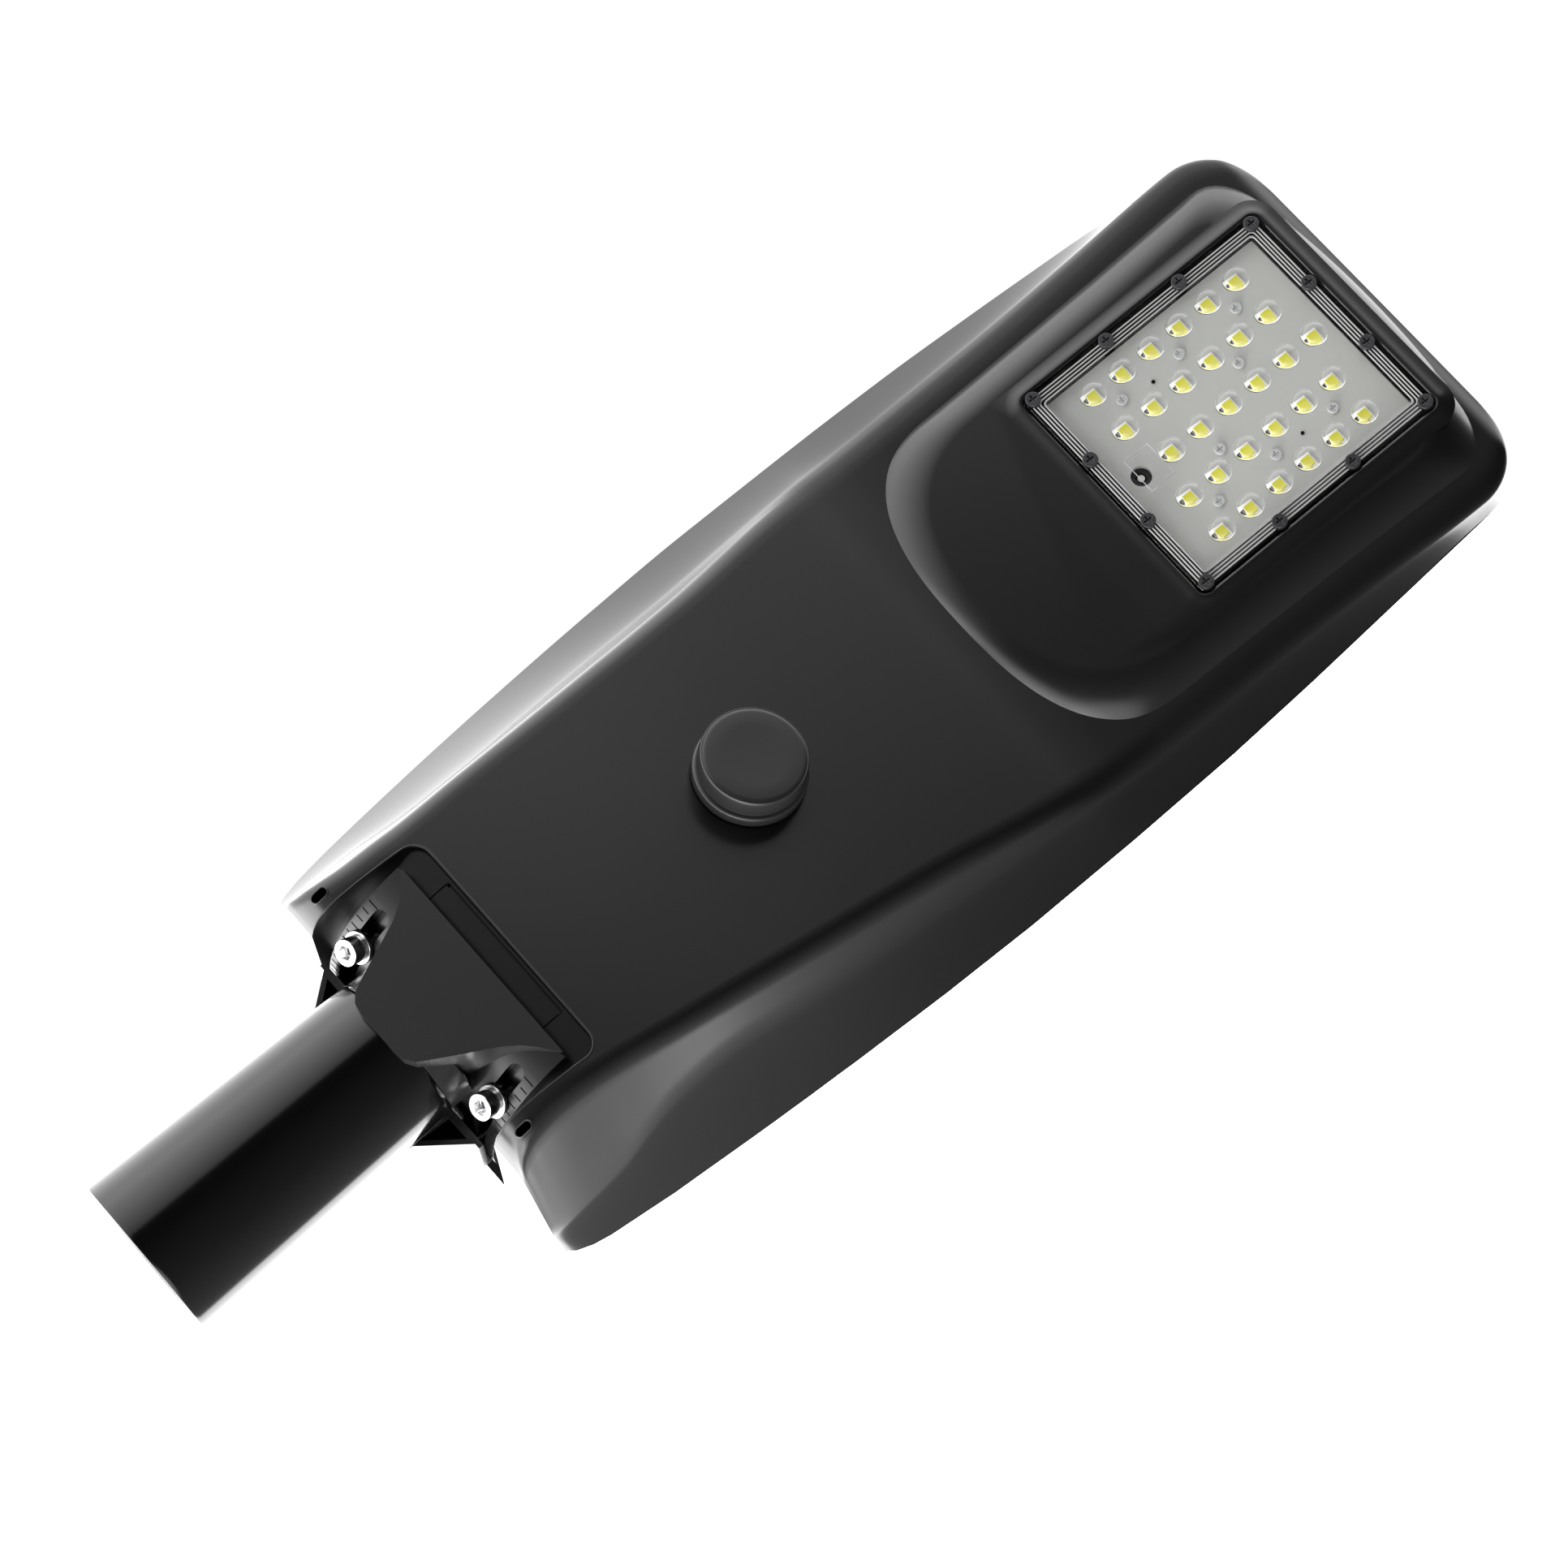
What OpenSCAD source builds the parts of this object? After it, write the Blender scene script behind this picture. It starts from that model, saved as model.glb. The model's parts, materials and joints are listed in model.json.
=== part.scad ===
/* [Arm tube] */
// Length of the tube along its own axis
tube_len = 114; // [100:1:130]
// Outer diameter at the open end
tube_od_open = 64; // [62:0.5:66]
// Outer diameter where the tube meets the adaptor
tube_od_root = 57; // [56:0.5:60]
// Straight bore that slides over the pole arm
tube_bore_d = 51; // [49:0.5:52]
// Downward lean of the tube towards the head, in degrees
tube_lean = 3; // [0:0.5:5]
/* [Tilt joint] */
// Distance of the tilt axis from the open end of the tube
pivot_x = 163.8; // [162:0.2:166]
// Height of the tilt axis
pivot_z = 21.7; // [20:0.1:23]
// Outer radius of the slotted saddle
saddle_r = 47.6; // [46:0.2:48]
// Thickness of the saddle
saddle_t = 5.8; // [5:0.1:7]
// Clearance between the saddle and its seat
seat_gap = 0.3; // [0.2:0.05:0.5]
// Half width of the saddle
saddle_hw = 45.5; // [44:0.5:46]
// Angle of the lock bolts below the rearward horizontal
bolt_angle = 38; // [34:1:42]
// Sideways distance of the lock bolts from the middle
bolt_y = 36.9; // [35:0.1:38]
/* [Head] */
// Height of the rim where the casting meets the panel frame
rim_z = 45; // [44:0.5:47]
// Front end of the casting
nose_x = 576; // [570:1:580]
// Rear end of the casting
tail_x = 115.5; // [114:0.5:117]
// Wall thickness of the casting
wall = 3; // [2.5:0.1:3.5]
// Radius of the front corners in plan
nose_r = 25; // [20:1:28]
/* [Light module] */
// Centre of the module along the head
led_x = 502.6; // [500:0.2:505]
// Pitch of the light emitters along the head
led_px = 14; // [13.5:0.1:14.2]
// Pitch of the light emitters across the head
led_py = 17.6; // [17:0.1:17.8]
// Length of the clear cover
lens_len = 114; // [112:0.5:116]
// Width of the clear cover
lens_wid = 100; // [98:0.5:102]
// Height of the flat face of the light pad
pad_z = 25; // [24:0.5:26]
/* [Sensor] */
// Centre of the sensor along the head
sensor_x = 272.5; // [268:0.5:280]
// Diameter of the sensor cap
sensor_d = 40; // [36:1:44]
// Slope of the belly under the head, in degrees
belly_slope = 14; // [13:0.5:15]
/* [Hidden] */
$fn = 64;
eps = 0.01;
far = 400;
seat_r = saddle_r - saddle_t - seat_gap;
seat_t = 4;
plug_from = 92;
plug_d = tube_bore_d + 0.6;
recess_hw = 50;
recess_front = 164.5;
recess_top = 42.5;
saddle_top_angle = 11.5;
saddle_low_angle = 76;
slot_w = 7;
slot_from = 1.5;
slot_to = 59;
bolt_d = 6;
bolt_head_d = 10;
bolt_head_h = 6;
washer_d = 12.5;
washer_t = 1.6;
plate_slope = 0.239;
plate_rear_x = 107.5;
plate_rear_z = -36.6;
gasket_t = 0.8;
frame_z = rim_z + gasket_t;
ledge_t = 1.6;
frame_h = 5.8;
frame_w = 12;
sheet_t = 0.5;
cell_t = 0.6;
glass_t = 2.6;
board_t = 1.6;
board_z = 26.7;
lens_z = 23.6;
lens_t = 2.4;
board_len = 102;
board_wid = 88;
screw_span_x = 107.3;
screw_span_y = 94.8;
battery_x0 = 176;
cell_d = 18.4;
cell_len = 65;
cell_pitch = 18.9;
cell_low_z = 13.2;
cell_high_z = 32;
holder_t = 8;
controller_z = 30;
controller_x0 = 256;
controller_x1 = 338;
panel_x0 = 128;
panel_x1 = 563;
floor_z = 31.2;
screw_bite = 3;
post_top = 34.4;

// Height of the belly along the head
belly = [[115.5, -10], [117, -15.5], [120, -20.5], [124, -23.8], [130, -25.3], [138, -25.7],
    [150, -24.9], [163, -22.2], [278, 7.3], [356, 25.6], [370, 29], [385, 31.5], [400, 32.6],
    [568, 33], [576, 36.5]];
// Half width of the crease between the belly and the flank
crease = [[115.5, 64.5], [120, 61.6], [128, 59.6], [140, 58.4], [155, 58.6], [191, 61.6],
    [250, 66.5], [300, 71], [350, 77], [400, 79.5], [450, 80.3], [500, 82.5], [551, 85.3],
    [576, 85.3]];
// Half width and height of the fold that runs along the flank
fold = [[115.5, 77], [135, 76], [150, 74.8], [165, 71.8], [180, 69.8], [200, 69.3], [225, 71.2],
    [250, 73.5], [300, 76.5], [350, 80], [400, 82], [450, 82.6], [500, 84.4], [551, 86.8],
    [576, 86.8]];
fold_up = [[115.5, 34], [135, 28], [150, 24.5], [165, 19], [180, 15], [200, 13.5], [225, 17],
    [250, 21.5], [300, 28], [350, 32], [400, 35], [551, 37.5], [576, 39]];
// Half width of the rim
rim = [[115.5, 78], [117, 81.5], [120, 84], [126, 86.2], [133, 87.6], [160, 90.6], [223, 95.2],
    [280, 97.8], [321, 98.8], [370, 98.6], [419, 97.6], [460, 95.6], [503, 92.9], [551, 89.8],
    [576, 89.8]];

function belly_z(x) = lookup(x, belly);
function nose_cut(x) =
    let (u = max(0, x - (nose_x - nose_r)))
    nose_r - sqrt(max(0, nose_r * nose_r - u * u));
function crease_w(x) = lookup(x, crease) - nose_cut(x);
function fold_w(x) = lookup(x, fold) - nose_cut(x);
function rim_w(x) = lookup(x, rim) - nose_cut(x);
function fold_z(x) = lookup(x, fold_up);
function crease_z(x) = belly_z(x) + 1.6;

// Half section of the head: belly, crease, fold, hollow flare and rim
function half_section(x, inset) =
    let (b = belly_z(x) + inset, c = crease_w(x) - inset, f = fold_w(x) - inset * 1.2,
        r = rim_w(x) - inset * 1.2, fz = max(fold_z(x), b + 2.2))
    [[0, b], [c * 0.55, b + 0.05], [c - 4, b + 0.2], [c - 0.8, b + 0.7], [c, b + 1.7], [f, fz],
    [f + (r - f) * 0.42, fz + (rim_z - fz) * 0.5], [f + (r - f) * 0.76, fz + (rim_z - fz) * 0.8],
    [r, rim_z]];

function full_section(x, inset, top) =
    let (h = half_section(x, inset), n = len(h))
    concat([for (i = [0 : n - 1]) [x, h[i][0], i == n - 1 ? top : h[i][1]]],
        [for (i = [n - 1 : -1 : 1]) [x, -h[i][0], i == n - 1 ? top : h[i][1]]]);

module loft(stations, inset, top) {
    rings = [for (x = stations) full_section(x, inset, top)];
    m = len(rings[0]);
    k = len(rings);
    pts = [for (r = rings) for (p = r) p];
    sides = [for (i = [0 : k - 2]) for (j = [0 : m - 1])
        each [[i * m + j, (i + 1) * m + (j + 1) % m, i * m + (j + 1) % m],
            [i * m + j, (i + 1) * m + j, (i + 1) * m + (j + 1) % m]]];
    cap_a = [[for (j = [0 : m - 1]) j]];
    cap_b = [[for (j = [m - 1 : -1 : 0]) (k - 1) * m + j]];
    polyhedron(points = pts, faces = concat(cap_a, sides, cap_b), convexity = 8);
}

outer_x = [115.5, 117, 120, 124, 130, 138, 150, 163, 180, 200, 225, 250, 278, 300, 321, 356, 370,
    385, 400, 450, 500, 551, 560, 567, 572, 575, 576];
inner_x = [119, 126, 150, 166, 200, 250, 300, 352, 400, 460, 551, 562, 569, 572.5];

// Plan outline that follows the rim, moved inwards by d
function rim_edge(d) =
    let (tail = [for (x = [115.5, 117, 120, 126, 133]) [x + d, lookup(x, rim) - d]],
        side = [for (x = [160, 200, 240, 280, 321, 370, 419, 460, 503, 545]) [x, lookup(x, rim) - d]],
        r = nose_r - d)
    concat(tail, side, [for (a = [0 : 15 : 90]) [nose_x - nose_r + r * sin(a),
        lookup(nose_x, rim) - nose_r + r * cos(a)]]);

module rim_plan(d) {
    e = rim_edge(d);
    n = len(e);
    polygon(concat(e, [for (i = [n - 1 : -1 : 0]) [e[i][0], -e[i][1]]]));
}

module slab(d, z0, z1) {
    translate([0, 0, z0])
    linear_extrude(z1 - z0)
    rim_plan(d);
}

module box(x0, x1, y0, y1, z0, z1) {
    translate([x0, y0, z0])
    cube([x1 - x0, y1 - y0, z1 - z0]);
}

// Cylinder across the head, centred on the tilt axis
module axis_drum(r, half) {
    translate([pivot_x, half, pivot_z])
    rotate([90, 0, 0])
    cylinder(h = 2 * half, r = r, $fn = 96);
}

// Points from the tilt axis outwards at an angle below the rearward horizontal
module radial(angle, y, from) {
    translate([pivot_x, y, pivot_z])
    rotate([0, 270 - angle, 0])
    translate([0, 0, from])
    children();
}

module tube_frame() {
    rotate([0, 90 + tube_lean, 0])
    children();
}

/* Arm side */
module arm_tube() {
    color("#101010")
    tube_frame()
    difference() {
        cylinder(h = tube_len, d1 = tube_od_open, d2 = tube_od_root, $fn = 96);
        translate([0, 0, -1])
        cylinder(h = plug_from + 1, d = tube_bore_d, $fn = 96);
        translate([0, 0, plug_from])
        cylinder(h = tube_len, d = plug_d + 0.4, $fn = 96);
        for (s = [32, 68])
            translate([0, 0, s])
            rotate([0, -90, 0])
            cylinder(h = 40, d = 8.1, $fn = 32);
    }
}

module tube_set_screws() {
    color("#5a5c5e")
    tube_frame()
    for (s = [32, 68])
        translate([0, 0, s])
        rotate([0, -90, 0])
        translate([0, 0, tube_bore_d / 2 + 0.2])
        difference() {
            cylinder(h = 6.5, d = 8, $fn = 32);
            translate([0, 0, 3])
            cylinder(h = 5, d = 4.6, $fn = 6);
        }
}

module saddle_wedge() {
    r = 80;
    a0 = saddle_top_angle;
    a1 = -saddle_low_angle;
    translate([pivot_x, 60, pivot_z])
    rotate([90, 0, 0])
    linear_extrude(120)
    polygon([[0, 0], [-r * cos(a0), r * sin(a0)], [-r * 1.2, 0],
        [-r * 1.2 * cos(a1 / 2), r * 1.2 * sin(a1 / 2)], [-r * cos(a1), r * sin(a1)]]);
}

module adaptor_outline(d) {
    half = [[107.5 + d, 9], [108.3 + d, 13.2], [111, 16.6 - d], [116, 19.2 - d], [124, 23.2 - d],
        [132, 27 - d], [138, 30 - d], [143, 33.4 - d], [147, 37.2 - d], [150, 41 - d],
        [152.8 - d * 0.4, 44 - d]];
    n = len(half);
    polygon(concat(half, [for (i = [n - 1 : -1 : 0]) [half[i][0], -half[i][1]]]));
}

// Everything above the sloping underside plate, up to the height z1
module above_plate(z1, lift) {
    x0 = 90;
    x1 = 170;
    z0 = plate_rear_z + (x0 - plate_rear_x) * plate_slope + lift;
    z2 = plate_rear_z + (x1 - plate_rear_x) * plate_slope + lift;
    translate([0, 60, 0])
    rotate([90, 0, 0])
    linear_extrude(120)
    polygon([[x0, z0], [x1, z2], [x1, z1], [x0, z1]]);
}

module bolt_slot(y) {
    intersection() {
        difference() {
            translate([0, y, 0])
            axis_drum(saddle_r + 3, slot_w / 2);
            translate([0, y, 0])
            axis_drum(seat_r - 4, slot_w);
        }
        translate([pivot_x, 60, pivot_z])
        rotate([90, 0, 0])
        linear_extrude(120)
        polygon([[0, 0], [-90 * cos(slot_from + 4), -90 * sin(slot_from + 4)], [-90, -60],
            [-90 * cos(slot_to - 4), -90 * sin(slot_to - 4)]]);
    }
    for (a = [slot_from + 4, slot_to - 4])
        radial(a, y, seat_r - 4)
        cylinder(h = 12, d = slot_w, $fn = 32);
}

module saddle_adaptor() {
    color("#1b1b1b")
    difference() {
        union() {
            intersection() {
                axis_drum(saddle_r, saddle_hw);
                saddle_wedge();
            }
            difference() {
                intersection() {
                    translate([0, 0, -60])
                    linear_extrude(120)
                    adaptor_outline(0);
                    above_plate(8, 0);
                }
                intersection() {
                    translate([0, 0, -60])
                    linear_extrude(120)
                    adaptor_outline(3);
                    above_plate(-8, 3);
                }
                tube_clearance();
            }
            tube_frame()
            translate([0, 0, plug_from])
            cylinder(h = tube_len + 10 - plug_from, d = plug_d, $fn = 96);
            intersection() {
                tube_frame()
                translate([0, 0, tube_len + 0.2])
                cylinder(h = 9, d = 56, $fn = 96);
                above_plate(60, 0.4);
            }
            for (s = [-1, 1])
                scale([1, s, 1])
                gusset();
        }
        axis_drum(saddle_r - saddle_t, far);
        bolt_slot(bolt_y);
        bolt_slot(-bolt_y);
    }
}

// The tube's own space, with a thin gap around it
module tube_clearance() {
    tube_frame()
    cylinder(h = tube_len + 0.05, d1 = tube_od_open + 0.6, d2 = tube_od_root + 0.6, $fn = 96);
}

// Box web between the saddle and the tube, with a pocketed triangular gusset behind it
module gusset() {
    web_z = 3;
    top_z = 27;
    difference() {
        translate([0, 0, web_z])
        linear_extrude(top_z - web_z)
        polygon([[93, 26.2], [114.5, 43.5], [114.5, 20], [104, 20]]);
        translate([0, 0, web_z - 1])
        linear_extrude(15)
        polygon([[98.5, 28.2], [111.5, 38.6], [111.5, 28.2]]);
        tube_clearance();
    }
    box(112.5, 122, 26, 44, top_z - 3, top_z);
    box(112.5, 114.5, 26, 44, web_z, top_z);
}

/* Lock bolts and washers, which slide in the slots with the head */
module lock_bolts() {
    color("#c9ccd0")
    for (s = [-1, 1])
        radial(bolt_angle, s * bolt_y, 0) {
            translate([0, 0, seat_r - 12])
            cylinder(h = saddle_t + 12 + washer_t + 0.6, d = bolt_d, $fn = 32);
            translate([0, 0, saddle_r + washer_t + 0.2])
            difference() {
                cylinder(h = bolt_head_h, d = bolt_head_d, $fn = 48);
                translate([0, 0, 2.6])
                cylinder(h = 4, d = 5.8, $fn = 6);
            }
        }
}

module lock_washers() {
    color("#d4d6d8")
    for (s = [-1, 1])
        radial(bolt_angle, s * bolt_y, saddle_r + 0.1)
        difference() {
            cylinder(h = washer_t, d = washer_d, $fn = 48);
            translate([0, 0, -1])
            cylinder(h = washer_t + 2, d = 6.4, $fn = 32);
        }
}

/* Head casting */
module sensor_place() {
    translate([sensor_x, 0, lookup(sensor_x, belly)])
    rotate([0, -belly_slope, 0])
    rotate([180, 0, 0])
    children();
}

module recess_space() {
    difference() {
        union() {
            box(90, recess_front - 7, -recess_hw, recess_hw, -60, recess_top);
            box(90, recess_front, -recess_hw + 7, recess_hw - 7, -60, recess_top);
            for (s = [-1, 1])
                translate([recess_front - 7, s * (recess_hw - 7), -60])
                cylinder(h = recess_top + 60, r = 7, $fn = 48);
        }
        axis_drum(seat_r, far);
    }
}

module recess_block() {
    difference() {
        box(80, recess_front + wall, -recess_hw - wall, recess_hw + wall, -60, 60);
        intersection() {
            axis_drum(seat_r - seat_t, recess_hw - 3);
            box(80, 260, -60, 60, -60, recess_top - 1);
        }
    }
}

module corner_post(x, y, z0, d, bore) {
    translate([x, y, z0])
    difference() {
        cylinder(h = 90, d = d, $fn = 32);
        translate([0, 0, -1])
        cylinder(h = 92, d = bore, $fn = 24);
    }
}

frame_screw_at = [[124, 74], [225, 87.6], [330, 91.2], [435, 89], [540, 82.6]];
nose_screw_at = [[568.6, 30], [568.6, -30]];
lens_screw_at = concat(
    [for (sx = [-1, 1]) for (sy = [-1, 1]) [sx * screw_span_x / 2, sy * screw_span_y / 2]],
    [for (sx = [-1, 1]) for (sy = [-1, 1]) [sx * 17.9, sy * screw_span_y / 2]],
    [for (sx = [-1, 1]) for (sy = [-1, 1]) [sx * screw_span_x / 2, sy * 15.8]]);
board_screw_at = [[-28, -27], [0, -27], [28, -27], [14, -10], [-14, 11], [-28, 26], [0, 26],
    [28, 26]];
controller_screw_at = [[262, 42], [262, -42], [332, 42], [332, -42]];
tray_screw_at = [[196, 54.5], [196, -54.5], [226, 54.5], [226, -54.5]];

module at_lens_screws(z) {
    for (p = lens_screw_at)
        translate([led_x + p[0], p[1], z])
        children();
}

// Boss on the back of the module floor
module short_post(p, d) {
    translate([led_x + p[0], p[1], 20])
    cylinder(h = post_top - 20, d = d, $fn = 24);
}

module pad_outline(d) {
    w = 72 - d;
    rear = 368.5 + d;
    n = 2.5;
    side = [for (t = [0 : 0.1 : 0.9]) [rear + 50 * (1 - pow(1 - pow(t, n), 1 / n)), w * t]];
    front = [[rear + 34, w * 0.975], [440 + d, w], [500, w + 1.6], [560 - d, w + 3.6],
        [566 - d, w + 1.6], [570.5 - d, w * 0.7], [573 - d, w * 0.35], [573.6 - d, 0]];
    half = concat(side, front);
    m = len(half);
    polygon(concat(half, [for (i = [m - 2 : -1 : 1]) [half[i][0], -half[i][1]]]));
}

module light_pad() {
    hull() {
        translate([0, 0, 33.6])
        linear_extrude(1)
        pad_outline(0);
        translate([0, 0, pad_z])
        linear_extrude(1)
        pad_outline(9);
    }
}

module round_slab(len_x, len_y, r, z0, z1) {
    translate([led_x, 0, z0])
    linear_extrude(z1 - z0)
    union() {
        square([len_x - 2 * r, len_y], center = true);
        square([len_x, len_y - 2 * r], center = true);
        for (sx = [-1, 1])
            for (sy = [-1, 1])
                translate([sx * (len_x / 2 - r), sy * (len_y / 2 - r)])
                circle(r = r, $fn = 32);
    }
}

module lower_housing() {
    color("#2b2b2c")
    difference() {
        union() {
            difference() {
                loft(outer_x, 0, rim_z);
                difference() {
                    loft(inner_x, wall, rim_z + 1);
                    recess_block();
                    casting_posts();
                }
            }
            light_pad();
            round_slab(121, 107, 4, pad_z - 1.6, pad_z + 2);
        }
        recess_space();
        intersection() {
            axis_drum(seat_r - seat_t, recess_hw - 3);
            box(150, 196, -60, 60, -19.5, recess_top - 1);
        }
        difference() {
            round_slab(132, 118, 10, floor_z, 44.9);
            for (p = lens_screw_at)
                short_post(p, 6.4);
            for (p = board_screw_at)
                short_post(p, 5);
        }
        round_slab(lens_len + 1, lens_wid + 1, 3, 10, lens_z + lens_t);
        round_slab(lens_len - 1, lens_wid - 1, 3, 20, lens_z + lens_t + 0.62);
        round_slab(board_len + 1, board_wid + 1, 2, 10, 28.8);
        housing_holes();
    }
}

// Posts and bosses cast inside the shell
module casting_posts() {
    for (p = frame_screw_at)
        for (s = [-1, 1])
            corner_post(p[0], s * p[1], -10, 9, 3.3);
    for (p = nose_screw_at)
        corner_post(p[0], p[1], 0, 9, 3.3);
    for (p = controller_screw_at)
        intersection() {
            corner_post(p[0], p[1], -30, 8, 2.6);
            box(250, 350, -60, 60, -30, controller_z);
        }
    for (p = tray_screw_at)
        intersection() {
            corner_post(p[0], p[1], -30, 9, 3.3);
            box(170, 250, -60, 60, -30, 1);
        }
    for (s = [-1, 1])
        radial(bolt_angle, s * bolt_y, seat_r - 14)
        cylinder(h = 14, d = 13, $fn = 48);
    box(360, nose_x, -4, 4, 20, 36);
    box(440, nose_x - 3, -66, 66, 20, floor_z);
}

module housing_holes() {
    at_lens_screws(20)
    cylinder(h = 14, d = 2.9, $fn = 24);
    at_frame_screws(rim_z - screw_bite - 1)
    cylinder(h = 10, d = 3.3, $fn = 24);
    for (p = tray_screw_at)
        translate([p[0], p[1], -2.2])
        cylinder(h = 4, d = 3.3, $fn = 24);
    for (p = board_screw_at)
        translate([led_x + p[0], p[1], 20])
        cylinder(h = 14, d = 2.2, $fn = 24);
    for (s = [-1, 1]) {
        radial(bolt_angle, s * bolt_y, seat_r - 13)
        cylinder(h = 20, d = bolt_d + 0.06, $fn = 32);
        for (t = [-1.45, 1.45])
            translate([125.3 + t, s * 55.7, -40])
            cylinder(h = 25, d = 3.7, $fn = 24);
        box(125.3 - 1.45, 125.3 + 1.45, s * 55.7 - 1.85, s * 55.7 + 1.85, -40, -15);
    }
    sensor_place()
    translate([0, 0, -10])
    cylinder(h = 20, d = 26.2, $fn = 64);
    translate([led_x - 42.6, 0, 20])
    cylinder(h = 20, d = 8, $fn = 32);
}

/* Panel side */
module frame_gasket() {
    color("#151515")
    difference() {
        slab(2.4, rim_z, frame_z);
        slab(4.6, rim_z - 1, frame_z + 1);
    }
}

module top_frame() {
    color("#c8cacc")
    difference() {
        slab(0, frame_z, frame_z + frame_h);
        slab(frame_w, frame_z + ledge_t, frame_z + frame_h + 1);
        slab(frame_w + 5, frame_z - 1, frame_z + frame_h + 1);
        at_frame_screws(frame_z - 1)
        cylinder(h = 10, d = 4.3, $fn = 32);
        at_frame_screws(frame_z + frame_h - 2.4)
        cylinder(h = 3, d = 8, $fn = 32);
    }
}

module at_frame_screws(z) {
    for (p = frame_screw_at)
        for (s = [-1, 1])
            translate([p[0], s * p[1], z])
            children();
    for (p = nose_screw_at)
        translate([p[0], p[1], z])
        children();
}

module frame_screws() {
    color("#b9bcc0")
    at_frame_screws(0) {
        translate([0, 0, frame_z + frame_h - 2.4])
        difference() {
            cylinder(h = 2.2, d = 7.4, $fn = 32);
            translate([0, 0, 1])
            cylinder(h = 2, d = 3, $fn = 6);
        }
        translate([0, 0, rim_z - screw_bite])
        cylinder(h = gasket_t + frame_h + screw_bite - 2.4, d = 3.2, $fn = 24);
    }
}

module solar_backsheet() {
    color("#f0f0f0")
    slab(frame_w + 0.4, frame_z + ledge_t, frame_z + ledge_t + sheet_t);
}

// Two columns of cells between the frame ledges
module solar_cells() {
    cols = 10;
    pitch = (panel_x1 - panel_x0 - 26) / cols;
    color("#10182c")
    for (i = [0 : cols - 1])
        for (s = [-1, 1])
            translate([panel_x0 + 15 + i * pitch, s > 0 ? 1.5 : -66.5, frame_z + ledge_t + sheet_t])
            cube([pitch - 2.4, 65, cell_t]);
}

module solar_glass() {
    z0 = frame_z + ledge_t + sheet_t + cell_t;
    color("#1c2a4a")
    slab(frame_w + 0.4, z0, z0 + glass_t);
}

module junction_box() {
    color("#161616")
    difference() {
        box(352, 392, -30, 30, frame_z + ledge_t - 7, frame_z + ledge_t);
        box(354, 390, -28, 28, frame_z + ledge_t - 5, frame_z + ledge_t - 1.5);
    }
}

/* Light module */
module thermal_pad() {
    color("#8d8f93")
    difference() {
        round_slab(board_len, board_wid, 2, board_z + board_t, 28.8);
        module_holes(2.6);
    }
}

module module_holes(d) {
    for (p = board_screw_at)
        translate([led_x + p[0], p[1], 10])
        cylinder(h = 30, d = d, $fn = 24);
    translate([led_x - 42.6, 0, 10])
    cylinder(h = 30, d = 8, $fn = 32);
}

module light_board() {
    color("#b9bab6")
    difference() {
        round_slab(board_len, board_wid, 2, board_z, board_z + board_t);
        module_holes(2.6);
    }
}

module at_emitters(z) {
    for (row = [-2 : 2])
        for (col = [0 : 5])
            translate([led_x + (col - 2.5) * led_px + (row == 0 ? led_px / 2 : 0) - 0,
                row * led_py, z])
            children();
}

module light_emitters() {
    color("#d8d06a")
    at_emitters(board_z - 0.35)
    cube([3.6, 3.6, 0.7], center = true);
}

module lens_gasket() {
    color("#202020")
    difference() {
        round_slab(lens_len - 1.6, lens_wid - 1.6, 2, lens_z + lens_t, lens_z + lens_t + 0.6);
        round_slab(board_len + 1.4, board_wid + 1.4, 2, 25, 28);
        at_lens_screws(20)
        cylinder(h = 10, d = 3, $fn = 24);
    }
}

module lens_plate() {
    color("#dfe3e2")
    difference() {
        union() {
            round_slab(lens_len, lens_wid, 3, lens_z, lens_z + lens_t);
            at_emitters(lens_z)
            intersection() {
                sphere(r = 5, $fn = 32);
                translate([-6, -6, -3.2])
                cube([12, 12, 3.3]);
            }
        }
        round_slab(board_len - 2.5, board_wid - 1.5, 2, lens_z + 1.2, lens_z + lens_t + 1);
        at_lens_screws(10)
        cylinder(h = 30, d = 3.4, $fn = 24);
    }
}

module pan_screw(head_d, head_h, shank_d, length) {
    difference() {
        cylinder(h = head_h, d = head_d, $fn = 32);
        for (a = [0, 90])
            rotate([0, 0, a])
            translate([-head_d * 0.3, -0.35, -eps])
            cube([head_d * 0.6, 0.7, head_h * 0.5]);
    }
    translate([0, 0, head_h])
    cylinder(h = length, d = shank_d, $fn = 24);
}

module lens_screws() {
    color("#3c3d3f")
    at_lens_screws(lens_z - 2.2)
    pan_screw(5.8, 2.2, 2.8, 9);
}

module board_screws() {
    color("#c4c6c8")
    for (p = board_screw_at)
        translate([led_x + p[0], p[1], board_z - 1])
        pan_screw(4.2, 1, 2.1, 6);
}

module cable_grommet() {
    color("#141414")
    translate([led_x - 42.6, 0, 28.9])
    difference() {
        cylinder(h = 4.6, d = 7.9, $fn = 32);
        translate([0, 0, -1])
        cylinder(h = 7, d = 4.2, $fn = 24);
    }
}

/* Sensor */
module sensor_base() {
    color("#1a1a1a")
    sensor_place()
    difference() {
        union() {
            translate([0, 0, 0.9])
            cylinder(h = 5, d = 42, $fn = 96);
            translate([0, 0, 5.9])
            cylinder(h = 2, d = 37, $fn = 96);
            translate([0, 0, -13])
            cylinder(h = 14.5, d = 26, $fn = 64);
        }
        translate([0, 0, -14])
        cylinder(h = 30, d = 21, $fn = 64);
    }
}

module sensor_gasket() {
    color("#0c0c0c")
    sensor_place()
    difference() {
        translate([0, 0, 0.3])
        cylinder(h = 0.55, d = 38, $fn = 64);
        translate([0, 0, -1])
        cylinder(h = 3, d = 28, $fn = 64);
    }
}

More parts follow.
